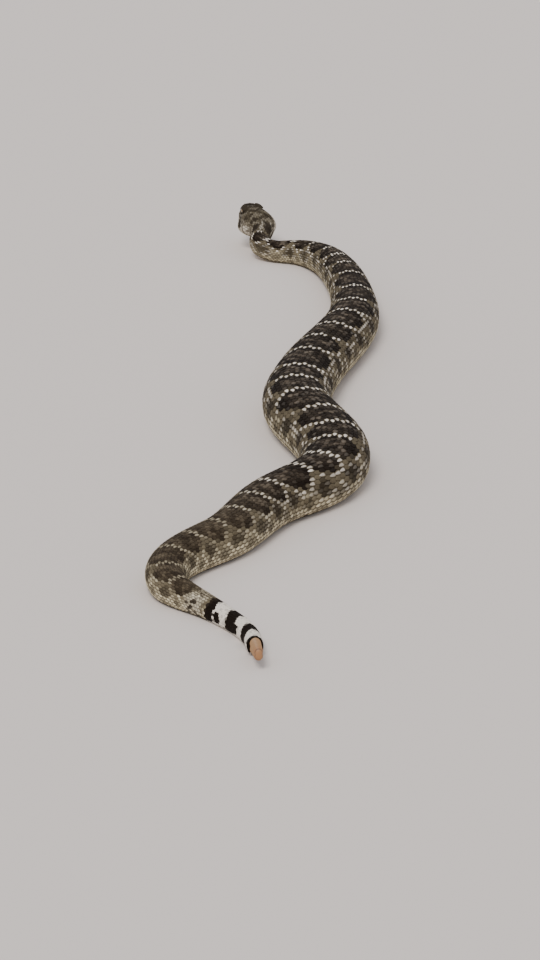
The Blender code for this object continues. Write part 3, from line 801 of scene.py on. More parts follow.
@dataclass
class MeshData:
    """Arrays of a mesh: vertices, loops, face sizes, masks per vertex and map places per loop."""

    verts: Array
    loops: Array
    sizes: Array
    masks: Masks
    places: Array

    def to_object(self, name: str) -> bpy.types.Object:
        """Makes a smooth mesh object of the arrays, linked to the scene."""
        mesh = bpy.data.meshes.new(name)
        mesh.vertices.add(len(self.verts))
        mesh.vertices.foreach_set("co", self.verts.astype(np.float32).ravel())
        mesh.loops.add(len(self.loops))
        mesh.loops.foreach_set("vertex_index", self.loops.astype(np.int32))
        mesh.polygons.add(len(self.sizes))
        starts = np.r_[0, np.cumsum(self.sizes)[:-1]]
        mesh.polygons.foreach_set("loop_start", starts.astype(np.int32))
        mesh.polygons.foreach_set("loop_total", self.sizes.astype(np.int32))
        mesh.update(calc_edges=True)
        layer = mesh.uv_layers.new(name="OFBake")
        layer.data.foreach_set("uv", self.places.astype(np.float32).ravel())
        for key, values in self.masks.items():
            attribute = mesh.attributes.new(key, "FLOAT", "POINT")
            attribute.data.foreach_set("value", values.astype(np.float32))
        mesh.shade_smooth()
        obj = bpy.data.objects.new(name, mesh)
        bpy.context.scene.collection.objects.link(obj)
        return obj


@dataclass
class Unwrap:
    """The skin's own unwrap: the snake cut into lengths that lie as strips one over another."""

    length: float
    strips: int = 3
    margin: float = 0.01

    def place(self, q: Array, f: Array, strip: Array) -> Array:
        """Map places of points, on the given strips."""
        size = self.length / self.strips
        u = self.margin + (1 - 2 * self.margin) * (q / size - strip)
        v = (strip + self.margin * 3 + (1 - self.margin * 6) * (f + 2) / 4) / self.strips
        return np.stack([u, v], -1)

    def strip_of(self, q: Array) -> Array:
        """The strip on which each q lies."""
        return np.clip((q / (self.length / self.strips)).astype(int), 0, self.strips - 1)


def tube_faces(rings: int, sides: int, turned: bool = False) -> tuple[Array, Array]:
    """Faces of a tube of rings whose two ends close in fans at points that follow the rings.

    Args:
        rings: number of rings.
        sides: number of points in each ring.
        turned: whether the faces look the other way.

    Returns:
        The loops of the quads and of the two fans, and the size of each face.
    """
    i, j = np.meshgrid(np.arange(rings - 1), np.arange(sides), indexing="ij")
    a, b = (i * sides + j).ravel(), (i * sides + (j + 1) % sides).ravel()
    k, last, pole = np.arange(sides), (rings - 1) * sides, np.full(sides, rings * sides)
    after = (k + 1) % sides
    order = [0, 2, 1] if turned else [0, 1, 2]
    quads = np.stack([a, b, b + sides, a + sides] if turned else [a, a + sides, b + sides, b], -1)
    start = np.stack([k, after, pole], -1)[:, order]
    end = np.stack([last + k, pole + 1, last + after], -1)[:, order]
    loops = np.concatenate([quads.ravel(), start.ravel(), end.ravel()])
    return loops, np.r_[np.full(len(quads), 4), np.full(2 * sides, 3)]


def with_ends(points: Array) -> Array:
    """The points of a tube's rings in one list, with the middles of its first and last ring."""
    return np.concatenate([points.reshape(-1, 3), points[:1].mean(1), points[-1:].mean(1)])


@dataclass
class Coat:
    """Builds sets of like scales as joined meshes of closed leaves."""

    form: Form
    markings: Markings
    unwrap: Unwrap
    patch: float = 0.003
    tip_width: float = 0.20
    tip_round: float = 0.06
    root_depth: float = 0.00012
    heart_depth: float = 0.00050
    least_thick: float = 0.45

    def outline(self, u: Array, profile: Profile) -> Array:
        """Half width of a scale at u along it, as a share of its greatest."""
        if profile is Profile.KEELED:
            front = 0.60 + 0.40 * np.sin(np.pi * np.clip(u / 0.45, 0, 1) / 2)
            rear = np.cos(np.pi / 2 * np.clip((u - 0.45) / 0.56, 0, 1)) ** 0.62
            return front * np.maximum(rear, self.tip_width)
        if profile is Profile.SMOOTH:
            return (1 - np.abs(2 * u - 1) ** 2.6 * 0.93) ** 0.5
        if profile is Profile.BELLY:
            return 1 - 0.05 * u**3
        return (1 - np.abs(2 * u - 1) ** 5 * 0.80) ** 0.40

    def relief(self, u: Array, v: Array, profile: Profile) -> tuple[Array, Array]:
        """Height of a scale's upper face as shares of its rise and of its thickness.

        A keeled scale climbs towards its free tip and has a ridge along its middle. A smooth one is
        without the ridge. A belly scute is flat with a turned edge. A plate is domed.
        """
        if profile is Profile.KEELED:
            ridge = bump(v, 0.20) * smooth_step(0.05, 0.30, u) * (1 - 0.5 * smooth_step(0.85, 1, u))
            return u**1.2, 0.55 * (1 - v * v) ** 0.5 * np.sin(np.pi * (0.12 + 0.80 * u)) + 0.75 * ridge
        if profile is Profile.SMOOTH:
            return 0.5 * u, (1 - np.abs(v) ** 3.0) ** 0.5 * np.sin(np.pi * (0.10 + 0.82 * u)) ** 0.7
        if profile is Profile.BELLY:
            return u**0.8, 0.35 * (1 - u**6)
        dome = (1 - np.abs(v) ** 4.0) * (1 - np.abs(2 * u - 1) ** 5.0)
        return np.zeros_like(u), np.maximum(dome, 0) ** 0.5

    def leaves(
        self,
        q: Array,
        f: Array,
        length: Array | float,
        half: Array | float,
        rise: Array | float,
        thick: Array | float,
        profile: Profile,
        grid: tuple[int, int] = (6, 7),
        lift: float = 0.0,
    ) -> MeshData:
        """Closed leaves that point to the tail, each a grid of quads above and a fan below.

        Args:
            q: distance along the snake of each leaf's root.
            f: way round the snake of its middle line.
            length: how far it reaches from root to tip.
            half: its half width, as a step of f.
            rise: height of its tip over the skin.
            thick: its thickness.
            profile: the shape of the leaves.
            grid: rows along and columns across of the upper face.
            lift: height of the roots over the skin.

        Returns:
            The arrays of one joined mesh.
        """
        count = len(q)
        sizes = (np.broadcast_to(value, count)[:, None, None] for value in (length, half, rise, thick))
        length, half, rise, thick = sizes
        u, v = np.meshgrid(np.linspace(0, 1, grid[0]), np.linspace(-1, 1, grid[1]), indexing="ij")
        width = self.outline(u, profile) * v
        reach = u + self.tip_round * u**4 * (1 - v * v)
        climb, dome = self.relief(u, v, profile)
        flat = self.squeeze(q, f, length[:, 0, 0])[:, None, None]
        height = lift - self.root_depth + rise * flat * climb
        height = height + thick * np.maximum(flat, self.least_thick) * dome
        ahead, aside = q[:, None, None] - length * reach, f[:, None, None] + half * width
        points = self.form.point(ahead, aside, height).reshape(count, -1, 3)
        middle = q - 0.5 * length[:, 0, 0]
        below = self.form.point(middle, f, lift - self.heart_depth)
        verts = np.concatenate([points, below[:, None]], axis=1).reshape(-1, 3)
        loops, sizes = self.leaf_faces(*grid)
        loops = (loops + (np.arange(count) * (u.size + 1))[:, None]).ravel()
        tint = np.random.default_rng(SEED + count).uniform(0, 1, count)
        masks = self.marks(middle, f, tint)
        spread = {name: np.repeat(mask, u.size + 1) for name, mask in masks.items()}
        u, v = np.r_[u.ravel(), 0.5], np.r_[v.ravel(), 0.0]
        spread["tip"] = np.tile(u, count)
        spread["edge"] = np.tile(np.abs(v), count)
        folded = np.where(np.abs(f) > 2, np.sign(f) * (np.abs(f) - 4), f)
        inside = np.stack([u - 0.5, v / 2], -1) * self.patch
        places = (self.places(middle, folded)[:, None] + inside).reshape(-1, 2)[loops]
        return MeshData(verts, loops, np.tile(sizes, count), spread, places)

    def marks(self, q: Array, f: Array, tint: Array | float, **own: Array | float) -> Masks:
        """The markings' masks at places, with the tint and with the piece's own masks over them."""
        own = {"tint": tint, **own}
        masks = self.markings.masks(q, f, np.full(q.shape, tint))
        return masks | {name: np.full(q.shape, value) for name, value in own.items()}

    def places(self, q: Array, f: Array) -> Array:
        """Places in the unwrap."""
        return self.unwrap.place(q, f, self.unwrap.strip_of(q))

    def squeeze(self, q: Array, f: Array, length: Array) -> Array:
        """Length of each leaf beside its step along the axis, a share that falls inside a bend."""
        away = self.form.point(q - length, f) - self.form.point(q, f)
        return np.clip(np.linalg.norm(away, axis=-1) / length * 1.2 - 0.14, 0.08, 1.0)

    @staticmethod
    def leaf_faces(rows: int, columns: int) -> tuple[Array, Array]:
        """Loops and sizes of a leaf's faces: its upper grid and the fan from its border below."""
        i, j = np.meshgrid(np.arange(rows - 1), np.arange(columns - 1), indexing="ij")
        a = (i * columns + j).ravel()
        faces = np.stack([a, a + columns, a + columns + 1, a + 1], -1)[:, ::-1]
        top = np.arange(columns)
        right = np.arange(1, rows) * columns + columns - 1
        bottom = (rows - 1) * columns + np.arange(columns - 2, -1, -1)
        left = np.arange(rows - 2, 0, -1) * columns
        ring = np.concatenate([top, right, bottom, left])[::-1]
        fan = np.stack([ring, np.roll(ring, -1), np.full(len(ring), rows * columns)], -1)
        loops = np.r_[faces.ravel(), fan.ravel()]
        return loops, np.r_[np.full(len(faces), 4), np.full(len(fan), 3)]


def joined(parts: list[MeshData]) -> MeshData:
    """One mesh of several, with the masks that they share."""
    offsets = np.r_[0, np.cumsum([len(part.verts) for part in parts])[:-1]]
    return MeshData(
        np.concatenate([part.verts for part in parts]),
        np.concatenate([part.loops + offset for part, offset in zip(parts, offsets)]),
        np.concatenate([part.sizes for part in parts]),
        {key: np.concatenate([part.masks[key] for part in parts]) for key in parts[0].masks},
        np.concatenate([part.places for part in parts]),
    )


@dataclass
class Skin:
    """The one skin of body and head, closed at the tail and at the snout."""

    coat: Coat
    around: int = 120
    body_step: float = 0.0022
    head_step: float = 0.0005
    overlap: float = 0.01
    ends: tuple[float, float] = (0.0003, 0.0002)

    def build(self) -> MeshData:
        """The skin as a tube of rings with a pole at each end."""
        form, unwrap = self.coat.form, self.coat.unwrap
        length, neck = form.length, form.route.length - self.overlap
        tail, snout = self.ends
        body = np.linspace(tail, neck, round(neck / self.body_step))
        head = np.linspace(neck, length - snout, round((length - neck) / self.head_step))
        q = np.r_[body, head[1:]]
        f = np.linspace(-2, 2, self.around, endpoint=False)
        qq, ff = np.meshgrid(q, f, indexing="ij")
        loops, sizes = tube_faces(len(q), self.around)
        all_q = np.r_[qq.ravel(), q[0], q[-1]]
        all_f = np.r_[ff.ravel(), 0.0, 0.0]
        # The skin takes a fixed tip and edge, so that the finish paints it darker with shade where it
        # shows between the scales.
        masks = self.coat.marks(all_q, all_f, 0.5, tip=0.25, edge=0.85)
        fan = 3 * self.around
        strip = unwrap.strip_of(np.repeat(qq[:-1].ravel(), 4))
        strip = np.r_[strip, np.zeros(fan, int), np.full(fan, unwrap.strips - 1)]
        loop_f = all_f[loops]
        tube_f = loop_f[: -2 * fan]
        tube_f[tube_f < np.repeat(ff[:-1].ravel(), 4)] += 4
        places = unwrap.place(all_q[loops], loop_f, strip)
        return MeshData(with_ends(form.point(qq, ff)), loops, sizes, masks, places)


@dataclass
class BodyScales:
    """The scales of back, flanks and tail, in slanting rows that alternate.

    Rise and thick each hold a share of the pitch, its limit and the value on the head. The rows of
    head_arc hold a distance from the joint of the head and the length round one side of it there.
    """

    coat: Coat
    rows: int
    start: float
    end: float
    size: float = 1.0
    profile: Profile = Profile.KEELED
    reach: float = 0.0470
    snout: tuple[float, float] = (0.0478, 0.0516)
    snout_slant: float = 1.9
    lip_band: float = 0.0027
    lip_start: float = 0.012
    head_arc: Table = ((0.0, 0.040), (0.040, 0.026), (0.0490, 0.021), (0.0516, 0.016))
    step_noise: float = 0.03
    row_noise: float = 0.04
    length: float = 1.36
    breadth: float = 0.66
    rise: tuple[float, float, float] = (0.062, 0.00034, 0.00020)
    thick: tuple[float, float, float] = (0.075, 0.00040, 0.00030)

    def pitch(self, q: Array) -> Array:
        """Distance between one scale and the next in its row, which closes up round the snout."""
        form = self.coat.form
        slant = 1 + self.snout_slant * smooth_step(*self.snout, q - form.route.length)
        return self.size * form.pitch(q) / slant

    def rings(self) -> Array:
        """Places of the rings of scales along the snake, half a pitch apart."""
        q = np.linspace(self.start, self.end, 4000)
        count = np.r_[0, np.cumsum(np.diff(q) / (self.pitch(q[1:]) / 2))]
        return np.interp(np.arange(int(count[-1])), count, q)

    def roots(self) -> tuple[Array, Array]:
        """q and f of every scale's root, without those that plates and hollows replace."""
        ring = self.rings()
        half = self.rows // 2
        column = np.arange(-half, half + 1)
        i, j = np.meshgrid(np.arange(len(ring)), column, indexing="ij")
        keep = (i + j) % 2 == 0
        q, f = ring[i[keep]], j[keep] / (half + 0.5)
        rng = np.random.default_rng(SEED + self.rows)
        step = self.pitch(q)
        q = q + rng.uniform(-self.step_noise, self.step_noise, q.shape) * step
        f = f + rng.uniform(-self.row_noise, self.row_noise, f.shape) / half
        keep = self.free(q, f)
        return q[keep], f[keep]

    def free(self, q: Array, f: Array) -> Array:
        """Whether a scale may stand at each place: clear of the eyes, hollows, lips and snout."""
        form = self.coat.form
        x = q - form.route.length
        a = np.abs(f)
        inner = 1 - self.lip_band / np.interp(x, *np.transpose(self.head_arc))
        free = ((x < self.lip_start) | (a < inner)) & (x < self.reach)
        for hollow in form.hollows:
            arc = (a - hollow.f) * form.arc_per_f(hollow.x)
            free &= np.hypot(x - hollow.x - 0.0006, arc) > hollow.radius * 1.12
        return free

    def build(self) -> MeshData:
        """All scales of the set."""
        form = self.coat.form
        q, f = self.roots()
        step = self.pitch(q)
        spacing = 1 / (self.rows // 2 + 0.5)
        on_head = smooth_step(-0.006, 0.014, q - form.route.length)
        rise, thick = (
            np.minimum(share * step, most) * (1 - on_head) + head * on_head
            for share, most, head in (self.rise, self.thick)
        )
        half = self.breadth * spacing
        return self.coat.leaves(q, f, self.length * step, half, rise, thick, self.profile)


@dataclass
class BellyScutes:
    """The wide scutes across the belly and under the tail."""

    coat: Coat
    start: float = 0.004
    throat: float = 0.011
    least: float = 0.0016
    growth: float = 0.070
    overlap: float = 1.25
    reach: float = 1.03
    rise: float = 0.00070
    thick: float = 0.00050

    def build(self) -> MeshData:
        """All scutes, from the tail's end to the throat."""
        route = self.coat.form.route
        q = np.linspace(self.start, route.length + self.throat, 6000)
        pitch = self.least + self.growth * route.width(q)
        count = np.r_[0, np.cumsum(np.diff(q) / pitch[1:])]
        ring = np.interp(np.arange(1, int(count[-1])), count, q)
        length, middle = self.overlap * np.interp(ring, q, pitch), np.full_like(ring, 2.0)
        sizes = (length, self.reach, self.rise, self.thick)
        return self.coat.leaves(ring, middle, *sizes, Profile.BELLY, (4, 21))


@dataclass
class HeadPlates:
    """The smooth plates of the head: lips, snout, chin and throat.

    Each of the snout's rows holds a plate's distance from the joint, its f, its length and its half
    width. What is named fill is the share of its place that a plate covers.
    """

    coat: Coat
    lip_count: int = 16
    lip_start: float = 0.0125
    lip_end: float = 0.0506
    lip_crowding: float = 0.92
    lip_fill: float = 0.97
    upper_band: float = 0.0028
    upper_gap: float = 0.00016
    upper_thick: float = 0.00046
    lower_band: float = 0.0025
    lower_gap: float = 0.00022
    lower_thick: float = 0.00042
    shield_length: float = 0.0072
    shield_width: float = 0.0017
    shield_fill: float = 0.96
    shield_thick: float = 0.00045
    chin: float = 0.0412
    throat_step: float = 0.00135
    throat_start: float = 0.0050
    throat_end: float = 0.0492
    throat_columns: int = 5
    throat_margin: float = 0.0004
    throat_rise: float = 0.00020
    throat_thick: float = 0.00028
    lift: float = 0.0001
    snout_lift: float = 0.00022
    snout_thick: float = 0.00038
    snout_rows: Table = (
        (0.0496, 0.20, 0.0021, 0.00115),
        (0.0470, 0.35, 0.0026, 0.00130),
        (0.0440, 0.375, 0.0029, 0.00145),
    )

    def arc(self, x: Array) -> Array:
        """Length round one side of the head at x."""
        return self.coat.form.arc_per_f(x)

    def plates(
        self, x: Array, f: Array, length: Array, half: Array, thick: float, lift: float
    ) -> MeshData:
        """Domed plates centred at x and f, with lengths along the head and half widths round it."""
        q = self.coat.form.route.length + x + length / 2
        return self.coat.leaves(q, f, length, half / self.arc(x), 0.0, thick, Profile.PLATE, lift=lift)

    def lips(self) -> list[MeshData]:
        """The rows of plates above and below the line of the mouth, on both sides."""
        edges = np.linspace(0, 1, self.lip_count + 1) ** self.lip_crowding
        edges = self.lip_start + (self.lip_end - self.lip_start) * edges
        x = (edges[1:] + edges[:-1]) / 2
        length = np.diff(edges) * self.lip_fill
        arc, share = self.arc(x), self.under_share(x)
        upper, lower = self.upper_band / 2, self.lower_band / 2
        made = []
        for side in (1, -1):
            above = side * (1 - (upper + self.upper_gap) / arc)
            below = side * (1 + (lower + self.lower_gap) / arc * share)
            half = np.full_like(x, upper)
            made.append(self.plates(x, above, length, half, self.upper_thick, self.lift))
            made.append(self.plates(x, below, length, lower * share, self.lower_thick, self.lift))
        return made

    def under_share(self, x: Array) -> Array:
        """How much f the under side takes for a length that takes one unit of it above."""
        return self.arc(x) / self.coat.form.arc(x, 1, 2, 30)

    def snout(self) -> list[MeshData]:
        """The larger plates along the edge of the snout, from behind the nostrils to the brows."""
        x, f, length, half = np.transpose(self.snout_rows)
        size = (length, half, self.snout_thick, self.snout_lift)
        return [self.plates(x, side * f, *size) for side in (1, -1)]

    def throat(self) -> list[MeshData]:
        """The chin shields and the small smooth scales of the throat."""
        x = np.array([self.chin])
        size = np.array([self.shield_length])
        width = self.shield_width * self.under_share(x)
        made = []
        for side in (1, -1):
            middle = side * (2 - width / self.arc(x))
            half = self.shield_fill * width
            made.append(self.plates(x, middle, size, half, self.shield_thick, self.lift))
        ring = np.arange(self.throat_start, self.throat_end, self.throat_step)
        column = np.arange(-self.throat_columns, self.throat_columns + 1)
        i, j = np.meshgrid(np.arange(len(ring)), column, indexing="ij")
        keep = (i + j) % 2 == 0
        x, j = ring[i[keep]], j[keep]
        under = self.arc(x) / self.under_share(x)
        lips = (self.lower_band + self.throat_margin) / under * smooth_step(0.010, 0.014, x)
        spacing = (1 - lips) / (self.throat_columns + 0.5)
        aside = np.abs(j) * spacing * under
        keep = (np.abs(x - self.chin) > 0.55 * self.shield_length) | (aside > 2.3 * self.shield_width)
        x, j, spacing = x[keep], j[keep], spacing[keep]
        step = 2 * self.throat_step
        q, f = self.coat.form.route.length + x + 0.6 * step, 2.0 + j * spacing
        sizes = (1.30 * step, 0.70 * spacing, self.throat_rise, self.throat_thick)
        made.append(self.coat.leaves(q, f, *sizes, Profile.SMOOTH, (5, 6)))
        return made

    def build(self) -> MeshData:
        """All plates of the head in one mesh."""
        return joined([*self.lips(), *self.snout(), *self.throat()])


def ellipsoid(rows: int, columns: int) -> tuple[Array, Array, Array]:
    """A ball of radius 1 about x, as vertices, loops and face sizes, with closed poles."""
    polar = np.linspace(0, math.pi, rows + 1)[1:-1]
    turn = np.linspace(0, 2 * math.pi, columns, endpoint=False)
    p, t = np.meshgrid(polar, turn, indexing="ij")
    ring = np.stack([np.cos(p), np.sin(p) * np.cos(t), np.sin(p) * np.sin(t)], -1).reshape(-1, 3)
    verts = np.concatenate([ring, [[1.0, 0.0, 0.0], [-1.0, 0.0, 0.0]]])
    return verts, *tube_faces(rows - 1, columns)


def rotated(a: Array, b: Array, angle: float) -> tuple[Array, Array]:
    """Two coordinates turned about the third axis."""
    c, s = math.cos(angle), math.sin(angle)
    return a * c - b * s, a * s + b * c


@dataclass(frozen=True)
class Shield:
    """One large plate of the head, which has a twin where it stands off the middle.

    Its size is the half length, half width and half thickness, and its place is its middle in the
    head's frame. It turns about the upright axis and tilts about the axis along the head. Dark is how
    dark it is. Powers below 1 square its outline and its edge.
    """

    size: Point
    place: Point
    turn: float
    dark: float
    tilt: float = 0.0
    outline: float = 0.70
    edge: float = 0.70


@dataclass
class HeadShields:
    """The plates that stand clear of the skin: one over each eye and those of the blunt snout."""

    coat: Coat
    furrow: float = 0.00008
    furrows: tuple[float, float] = (17, 3)
    shields: tuple[Shield, ...] = (
        Shield(
            (0.0058, 0.0033, 0.0012),
            (0.0367, 0.0079, 0.0102),
            turn=math.radians(-12),
            dark=0.70,
            tilt=math.radians(-16),
            outline=0.85,
            edge=1.0,
        ),
        Shield((0.0006, 0.0018, 0.0026), (0.0507, 0.0, 0.0008), 0.0, 0.18),
        Shield((0.0019, 0.0022, 0.0007), (0.0484, 0.0, -0.0044), 0.0, 0.05),
        Shield((0.0006, 0.0018, 0.0013), (0.0504, 0.0018, 0.0047), 0.10, 0.40),
        Shield((0.0006, 0.0017, 0.0018), (0.0502, 0.0034, 0.0018), 0.45, 0.30),
        Shield((0.0006, 0.0018, 0.0013), (0.0502, 0.0033, -0.0013), 0.40, 0.05),
        Shield((0.0006, 0.0017, 0.0014), (0.0489, 0.0058, -0.0012), 0.85, 0.10),
        Shield((0.0012, 0.0015, 0.0006), (0.0486, 0.0036, -0.0042), 0.40, 0.02),
    )

    def shield(self, plate: Shield, side: int) -> MeshData:
        """One plate with fine furrows across, on the left where side is 1."""
        form = self.coat.form
        verts, loops, sizes = ellipsoid(32, 28)
        flat = int(np.argmin(plate.size))
        wide = [axis for axis in range(3) if axis != flat]
        power = np.full(3, plate.outline)
        power[flat] = plate.edge
        local = np.sign(verts) * np.abs(verts) ** power * np.array(plate.size)
        furrow = np.sin(verts[:, wide[0]] * self.furrows[0] + verts[:, wide[1]] * self.furrows[1])
        local[:, flat] += self.furrow * furrow * np.maximum(verts[:, flat], 0)
        x, y, z = local.T
        y, z = rotated(y, z, side * plate.tilt)
        x, y = rotated(x, y, side * plate.turn)
        ahead, aside, level = plate.place
        middle = np.array([ahead, side * aside, level])
        q = np.full(len(verts), form.route.length + ahead)
        f = np.full(len(verts), 0.45 * np.sign(middle[1]))
        # Painted shade: this edge mask darkens each shield towards its rim.
        edge = np.clip(np.hypot(verts[:, wide[0]], verts[:, wide[1]]) ** 4, 0, 1)
        masks = self.coat.marks(q, f, 0.45, dark=plate.dark, pale=0.0, tip=0.5, edge=edge)
        places = self.coat.places(q, f) + verts[:, wide] * self.coat.patch / 2
        points = form.head.place(np.stack([x, y, z], -1) + middle)
        return MeshData(points, loops, sizes, masks, places[loops])

    def build(self) -> MeshData:
        """All of these plates."""
        made = []
        for plate in self.shields:
            for side in (1, -1) if plate.place[1] else (1,):
                made.append(self.shield(plate, side))
        return joined(made)


@dataclass
class Rims:
    """Raised rims round the eyes, the heat pits and the nostrils."""

    coat: Coat
    eyes: list["Eye"]
    sections: int = 12
    turns: int = 36
    pinch: float = 0.38
    eye_tube: float = 0.00036
    eye_height: float = 0.8
    eye_beads: int = 14
    pit_tube: float = 0.00066
    pit_height: float = 0.45
    pit_beads: int = 5
    pit_sink: float = 0.00060
    pit_clear: float = 0.00012

    def rim(
        self, centre: Array, out: Array, radius: float, tube: float, height: float, beads: int
    ) -> MeshData:
        """A ring round centre, square to out, whose thickness swells and pinches into beads."""
        form, count = self.coat.form, self.sections
        side = np.cross(out, form.head.ahead)
        side /= np.linalg.norm(side)
        front = np.cross(side, out)
        a = np.linspace(0, 2 * math.pi, self.turns, endpoint=False)
        b = np.linspace(0, 2 * math.pi, count, endpoint=False)
        aa, bb = np.meshgrid(a, b, indexing="ij")
        swell = 1 - self.pinch * np.abs(np.cos(aa * beads / 2)) ** 8
        spoke = np.cos(aa)[..., None] * front + np.sin(aa)[..., None] * side
        reach = radius + tube * swell * np.cos(bb)
        points = centre + spoke * reach[..., None] + out * (tube * swell * np.sin(bb) * height)[..., None]
        i, j = np.meshgrid(np.arange(self.turns), np.arange(count), indexing="ij")
        row, after, past = i * count, (i + 1) % self.turns * count, (j + 1) % count
        quads = np.stack([row + j, after + j, after + past, row + past], -1).reshape(-1, 4)
        q, f = np.full(aa.size, form.route.length + 0.040), np.full(aa.size, 0.60)
        masks = self.coat.marks(q, f, 0.6, dark=0.40, pale=0.0, tip=0.5, edge=0.0)
        small = np.stack([np.cos(aa), np.sin(aa)], -1).reshape(-1, 2) * self.coat.patch
        places = (self.coat.places(q, f) + small)[quads.ravel()]
        return MeshData(points.reshape(-1, 3), quads.ravel(), np.full(len(quads), 4), masks, places)

    def build(self) -> MeshData:
        """Rims of both eyes and of every hollow but theirs."""
        form = self.coat.form
        size = (self.eye_tube, self.eye_height, self.eye_beads)
        made = [self.rim(eye.rim_centre(), eye.out, eye.radius, *size) for eye in self.eyes]
        size = (self.pit_tube, self.pit_height, self.pit_beads)
        for hollow in form.hollows[1:]:
            for side in (1.0, -1.0):
                q, f = np.array([form.route.length + hollow.x]), np.array([side * hollow.f])
                low = form.outside(q, form.angle(q, f))[0]
                high = form.point(q, f, 0.004 + form.dent(q, f))[0]
                out = (high - low) / np.linalg.norm(high - low)
                centre = low - out * self.pit_sink
                made.append(self.rim(centre, out, hollow.radius + self.pit_clear, *size))
        return joined(made)


@dataclass
class Eye:
    """An eye with an upright slit pupil, set where the solid eye is."""

    node: str
    side: float
    head: Head
    forwards: float = 0.22
    upwards: float = 0.16
    rim_depth: float = 0.42

    def __post_init__(self) -> None:
        """Reads the solid eye's place and size, and turns the gaze out, a little ahead and up."""
        low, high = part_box(self.node)
        self.centre = (np.array(low) + np.array(high)) / 2
        self.radius = float(min(high[i] - low[i] for i in range(3))) / 2
        out = self.head.straight((self.forwards, self.side, self.upwards))
        self.out = out / np.linalg.norm(out)
        across = np.cross(self.head.up, self.out)
        self.across = across / np.linalg.norm(across)
        self.upright = np.cross(self.out, self.across)

    def rim_centre(self) -> Array:
        """Middle of the ring of small scales round the eye."""
        return self.centre + self.out * self.radius * self.rim_depth

    def build(self) -> MeshData:
        """The eyeball with the three places of each vertex in the eye's own frame as masks."""
        verts, loops, sizes = ellipsoid(28, 48)
        local = verts * self.radius
        points = self.centre + local[:, :1] * self.out + local[:, 1:2] * self.across
        points = points + local[:, 2:] * self.upright
        masks = {"gaze": verts[:, 0], "across": verts[:, 1], "upright": verts[:, 2]}
        polar = np.arccos(np.clip(verts[:, 0], -1, 1)) / math.pi
        turn = np.arctan2(verts[:, 2], verts[:, 1])
        place = 0.5 + 0.49 * np.stack([polar * np.cos(turn), polar * np.sin(turn)], -1)
        return MeshData(points, loops, sizes, masks, place[loops])


@dataclass
class Rattle:
    """The rattle: loose rings of horn, each with a deep waist, the last one a rounded button."""

    route: Route
    rings: int = 7
    pitch: float = 0.0043
    gap: float = 0.0004
    height: tuple[float, float] = (0.0138, 0.0106)
    width: tuple[float, float] = (0.0100, 0.0078)
    groove: float = 0.18
    waist: float = 0.70
    crest: tuple[float, float] = (0.33, 0.27)
    lobe: tuple[float, float] = (0.79, 0.11)
    cap_length: float = 0.0013
    cap_width: float = 0.80
    sides: int = 56
    steps: int = 20

    def swell(self, part: Array) -> Array:
        """Radius along one ring as a share: a crest, a shallow furrow, a second lobe and a waist."""
        crest = bump(part - self.crest[0], self.crest[1])
        lobe = 0.50 * bump(part - self.lobe[0], self.lobe[1])
        return self.waist + (1 - self.waist) * np.maximum(crest, lobe)

    def build(self) -> MeshData:
        """The whole rattle as one closed form."""
        total = self.rings * self.pitch
        part = np.linspace(0, self.rings, self.rings * self.steps + 1)
        x = part * self.pitch + self.gap
        scale = self.swell(part % 1.0)
        cap = np.linspace(0, 1, 9)[1:-1]
        x = np.r_[x, total + self.gap + self.cap_length * cap]
        scale = np.r_[scale, self.cap_width * np.sqrt(1 - cap**2)]
        share = np.clip(x / total, 0, 1)
        turn = np.linspace(0, 2 * math.pi, self.sides, endpoint=False)
        xx, tt = np.meshgrid(x, turn, indexing="ij")
        size = scale[:, None]
        groove = 1 - self.groove * bump(np.sin(tt), 0.30)
        wide = (self.width[0] + (self.width[1] - self.width[0]) * share)[:, None] / 2 * size * groove
        tall = (self.height[0] + (self.height[1] - self.height[0]) * share)[:, None] / 2 * size
        y, z = wide * np.cos(tt), tall * np.sin(tt)
        centre, ahead, left, up = (v[0] for v in self.route.frame(np.array([0.0])))
        points = centre - xx[..., None] * ahead - y[..., None] * left + z[..., None] * up
        loops, sizes = tube_faces(len(x), self.sides, turned=True)
        age = np.r_[np.repeat(share, self.sides), 0.0, 1.0]
        # Painted shade: the waist mask grows as a ring narrows, for the finish to darken the grooves
        # between the rings; the end cap takes a little of it.
        hollow = np.repeat(np.where(x > total, 0.08, 1 - scale), self.sides)
        masks = {"age": age, "waist": np.r_[hollow, 0.2, 0.08]}
        place = np.stack([0.02 + 0.96 * age, np.r_[np.tile(turn / 7, len(x)), 0.5, 0.5]], -1)
        return MeshData(with_ends(points), loops, sizes, masks, place[loops])


